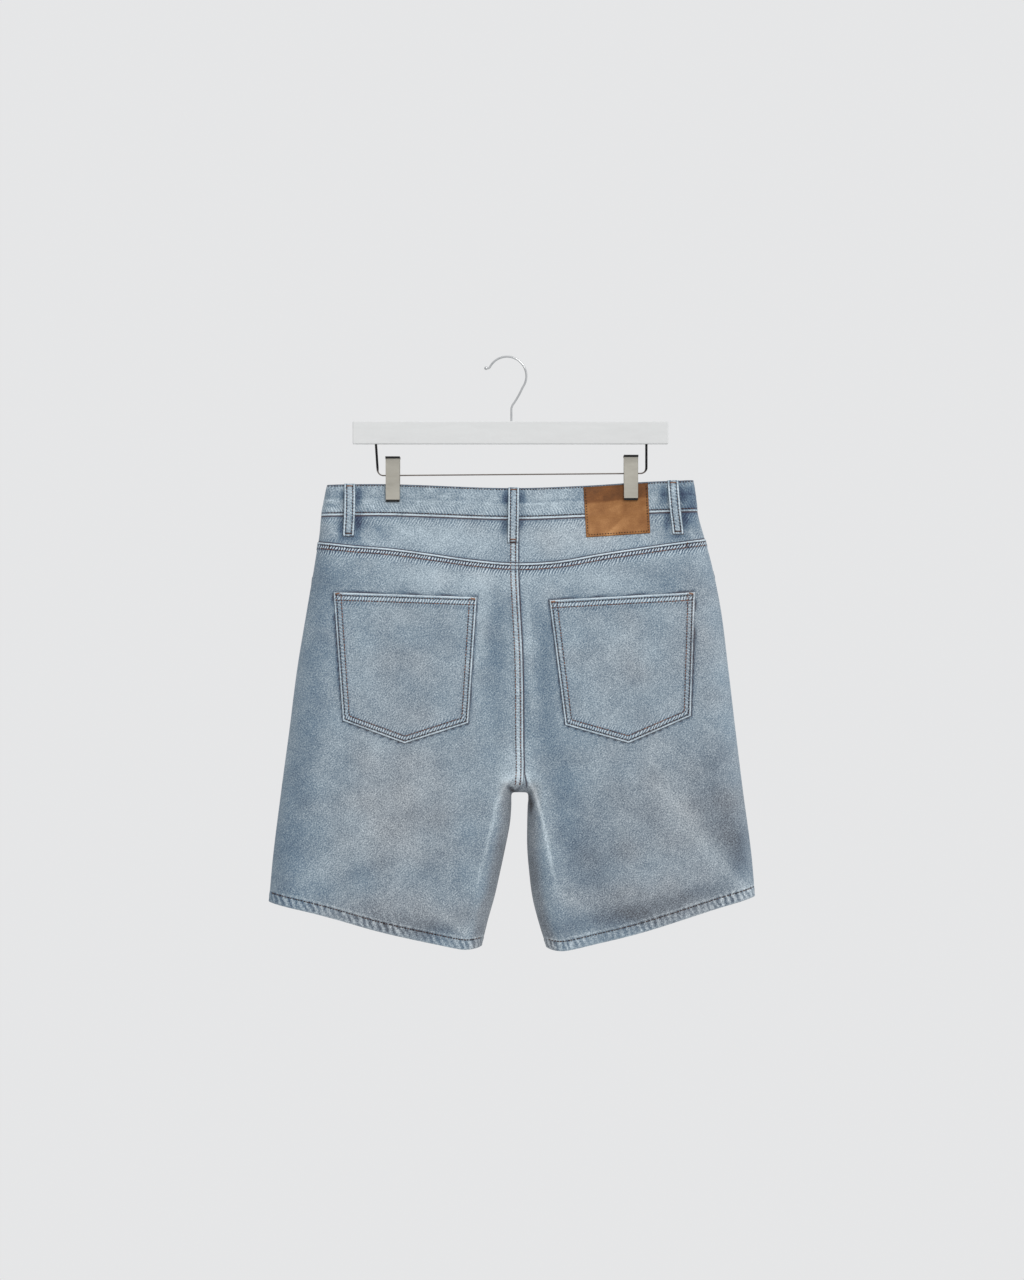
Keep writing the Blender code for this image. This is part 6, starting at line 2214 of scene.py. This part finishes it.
def lip_profile(jaw):
    """The finger grip over the upper end of a plate."""
    corners = ((1.0, -2.5), (1.9, 0.1), (3.2, 0.1), (3.4, -2.0), (2.6, -2.6))
    return [(jaw.top + y, jaw.z_top + z) for y, z in corners]


def build_spring(clip):
    """The coil round the wire, on a plain core."""
    foot = np.array([clip.x, 0.0, float(frame_foot(clip.x))])
    turns = np.linspace(0, 2 * PI * SPRING_TURNS, SPRING_TURNS * 20 + 1)[:, None]
    out = ALONG_Y * np.cos(turns) + ALONG_Z * np.sin(turns)
    along = (BARREL_LENGTH - 1.4) * (turns / turns[-1] - 0.5)
    middle = foot + ALONG_X * along + out * (BARREL_RADIUS - 0.75)
    rings = [middle + SPRING_WIRE * (out * np.cos(a) + ALONG_X * np.sin(a)) for a in circle(8)]
    points = np.stack(rings, 1).reshape(-1, 3)
    coil = object_from(f"{clip.name}_spring", points, capped_rings(len(turns), 8), {}, DARK, 0.7)
    place_hardware(coil, "dark_steel", f"{clip.name}_barrel")
    end = BARREL_LENGTH / 2 - 0.6
    rings = ((1.45, -end), (4.9, -end), (4.9, end), (1.45, end))
    points = turned_points(rings, 28, foot, ALONG_X, ALONG_Y)
    faces = ring_quads(len(rings), 28, closed=True)
    place_hardware(object_from(f"{clip.name}_core", points, faces, {}, DARK, 0.6), "dark_steel")


def build_clip(clip):
    low = clip.x - CLIP_WIDTH / 2
    high = clip.x + CLIP_WIDTH / 2
    for side in (BACK, FRONT):
        jaw = jaw_of(clip, side)
        name = f"{clip.name}_{SIDE_NAMES[side]}"
        steel = strip(f"{name}_steel", side, plate_profile(jaw), low, high, PLATE)
        place_hardware(steel, "grey_steel", f"{name}_plate")
        pad = strip(f"{name}_pad", side, pad_profile(jaw), low + 0.2, high - 0.2, RUBBER, 0.2)
        place_hardware(pad, "dark_steel")
        lip = strip(f"{name}_lip", side, lip_profile(jaw), low - 0.25, high + 0.25, RUBBER, 0.3)
        place_hardware(lip, "dark_steel")
    build_spring(clip)


# The button from its foot to the middle of its face, as radius and height.
BUTTON = (
    (3.4, 0.0), (3.4, 1.4), (7.2, 1.45), (8.2, 1.9), (8.5, 2.5), (8.3, 3.3), (7.8, 3.9),
    (7.2, 4.2), (6.6, 4.1), (6.1, 3.5), (5.6, 3.25), (3.2, 3.2), (2.7, 3.5), (1.4, 3.7), (0.05, 3.75),
)


def build_button():
    z = float(waist_top(FRONT, CENTRE_X)) - BAND_HEIGHT / 2
    foot, out = seat(FRONT, np.array([centre_x(z)]), np.array([z]))
    foot = foot[0] + out[0] * (BAND_PROUD + 0.3)
    sides = 48
    points = turned_points(BUTTON, sides, foot, out[0], ALONG_X)
    faces = capped_rings(len(BUTTON), sides)
    button = object_from("button_metal_disc", points, faces, {}, BRASS, 0.8)
    place_hardware(button, "grey_steel", "waist_button")


# ---------------------------------------------------------------- light and camera


FLOOR_Z = -2.75
FLOOR_RADII = (0.0, 2.5, 5.0, 7.0)
LAMP_AT = (1.6, -3.3, 1.8)
LAMP_AIM = (0.0, 0.0, -0.42)
CAMERA_AT = (0.006, -4.2867, -0.3403)


def build_floor():
    sides = 96
    rings = [(radius, FLOOR_Z) for radius in FLOOR_RADII]
    points = turned_points(rings, sides, np.zeros(3), ALONG_Z, ALONG_X)
    faces = [(a, d, c, b) for a, b, c, d in ring_quads(len(rings), sides)]
    paint = paint_plain("studio_floor", (214, 215, 215), (220, 221, 221), 0.9, scale=0.6, bump=0.0)
    object_from("studio_floor", points / MM, faces, {}, paint, 3.2)


def build_world():
    """Soft light from all round, a little more from the viewer's upper right."""
    world = bpy.data.worlds.new("studio")
    bpy.context.scene.world = world
    g = Graph(world, "Background")
    x, y, z = g.split(g.add("ShaderNodeTexCoord").outputs["Generated"])
    towards = g.sum(g.times(x, 0.20), g.times(z, 0.36))
    before = g.span(y, -0.2, 0.75, 1.0, 0.0, "SMOOTHSTEP")
    g.finish(Color=(0.985, 0.99, 1.0, 1), Strength=g.sum(g.times(towards, before), 0.80))


def build_lamp():
    key = bpy.data.lights.new("key", "AREA")
    key.shape = "DISK"
    key.size = 1.5
    key.energy = 52.0
    key.color = (1.0, 0.985, 0.96)
    lamp = bpy.data.objects.new("key", key)
    lamp.location = LAMP_AT
    lamp.rotation_euler = (Vector(LAMP_AIM) - lamp.location).to_track_quat("-Z", "Y").to_euler()
    bpy.context.scene.collection.objects.link(lamp)


def build_camera():
    camera = bpy.data.cameras.new("camera")
    camera.lens = 100.0
    camera.sensor_width = 36.0
    camera.clip_end = 60.0
    seen = bpy.data.objects.new("camera", camera)
    seen.location = CAMERA_AT
    seen.rotation_euler = (PI / 2, 0, 0)
    bpy.context.scene.collection.objects.link(seen)
    bpy.context.scene.camera = seen


def main():
    for half in (LEFT, RIGHT):
        for side in (BACK, FRONT):
            build_panel(side, half)
        build_yoke(half)
        build_facing(half)
    build_fly_shield()
    build_waistband()
    for pocket in POCKETS:
        build_pocket(pocket)
    for loop in LOOPS:
        build_loop(loop)
    build_patch()
    sew()

    build_hook()
    build_frame_wire()
    for clip in CLIPS:
        build_clip(clip)
    build_button()
    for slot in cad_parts["hanger_bar"].material_slots:
        slot.material = WHITE

    bpy.context.scene.view_settings.view_transform = "Standard"
    build_floor()
    build_world()
    build_lamp()
    build_camera()


main()
bpy.context.view_layer.update()
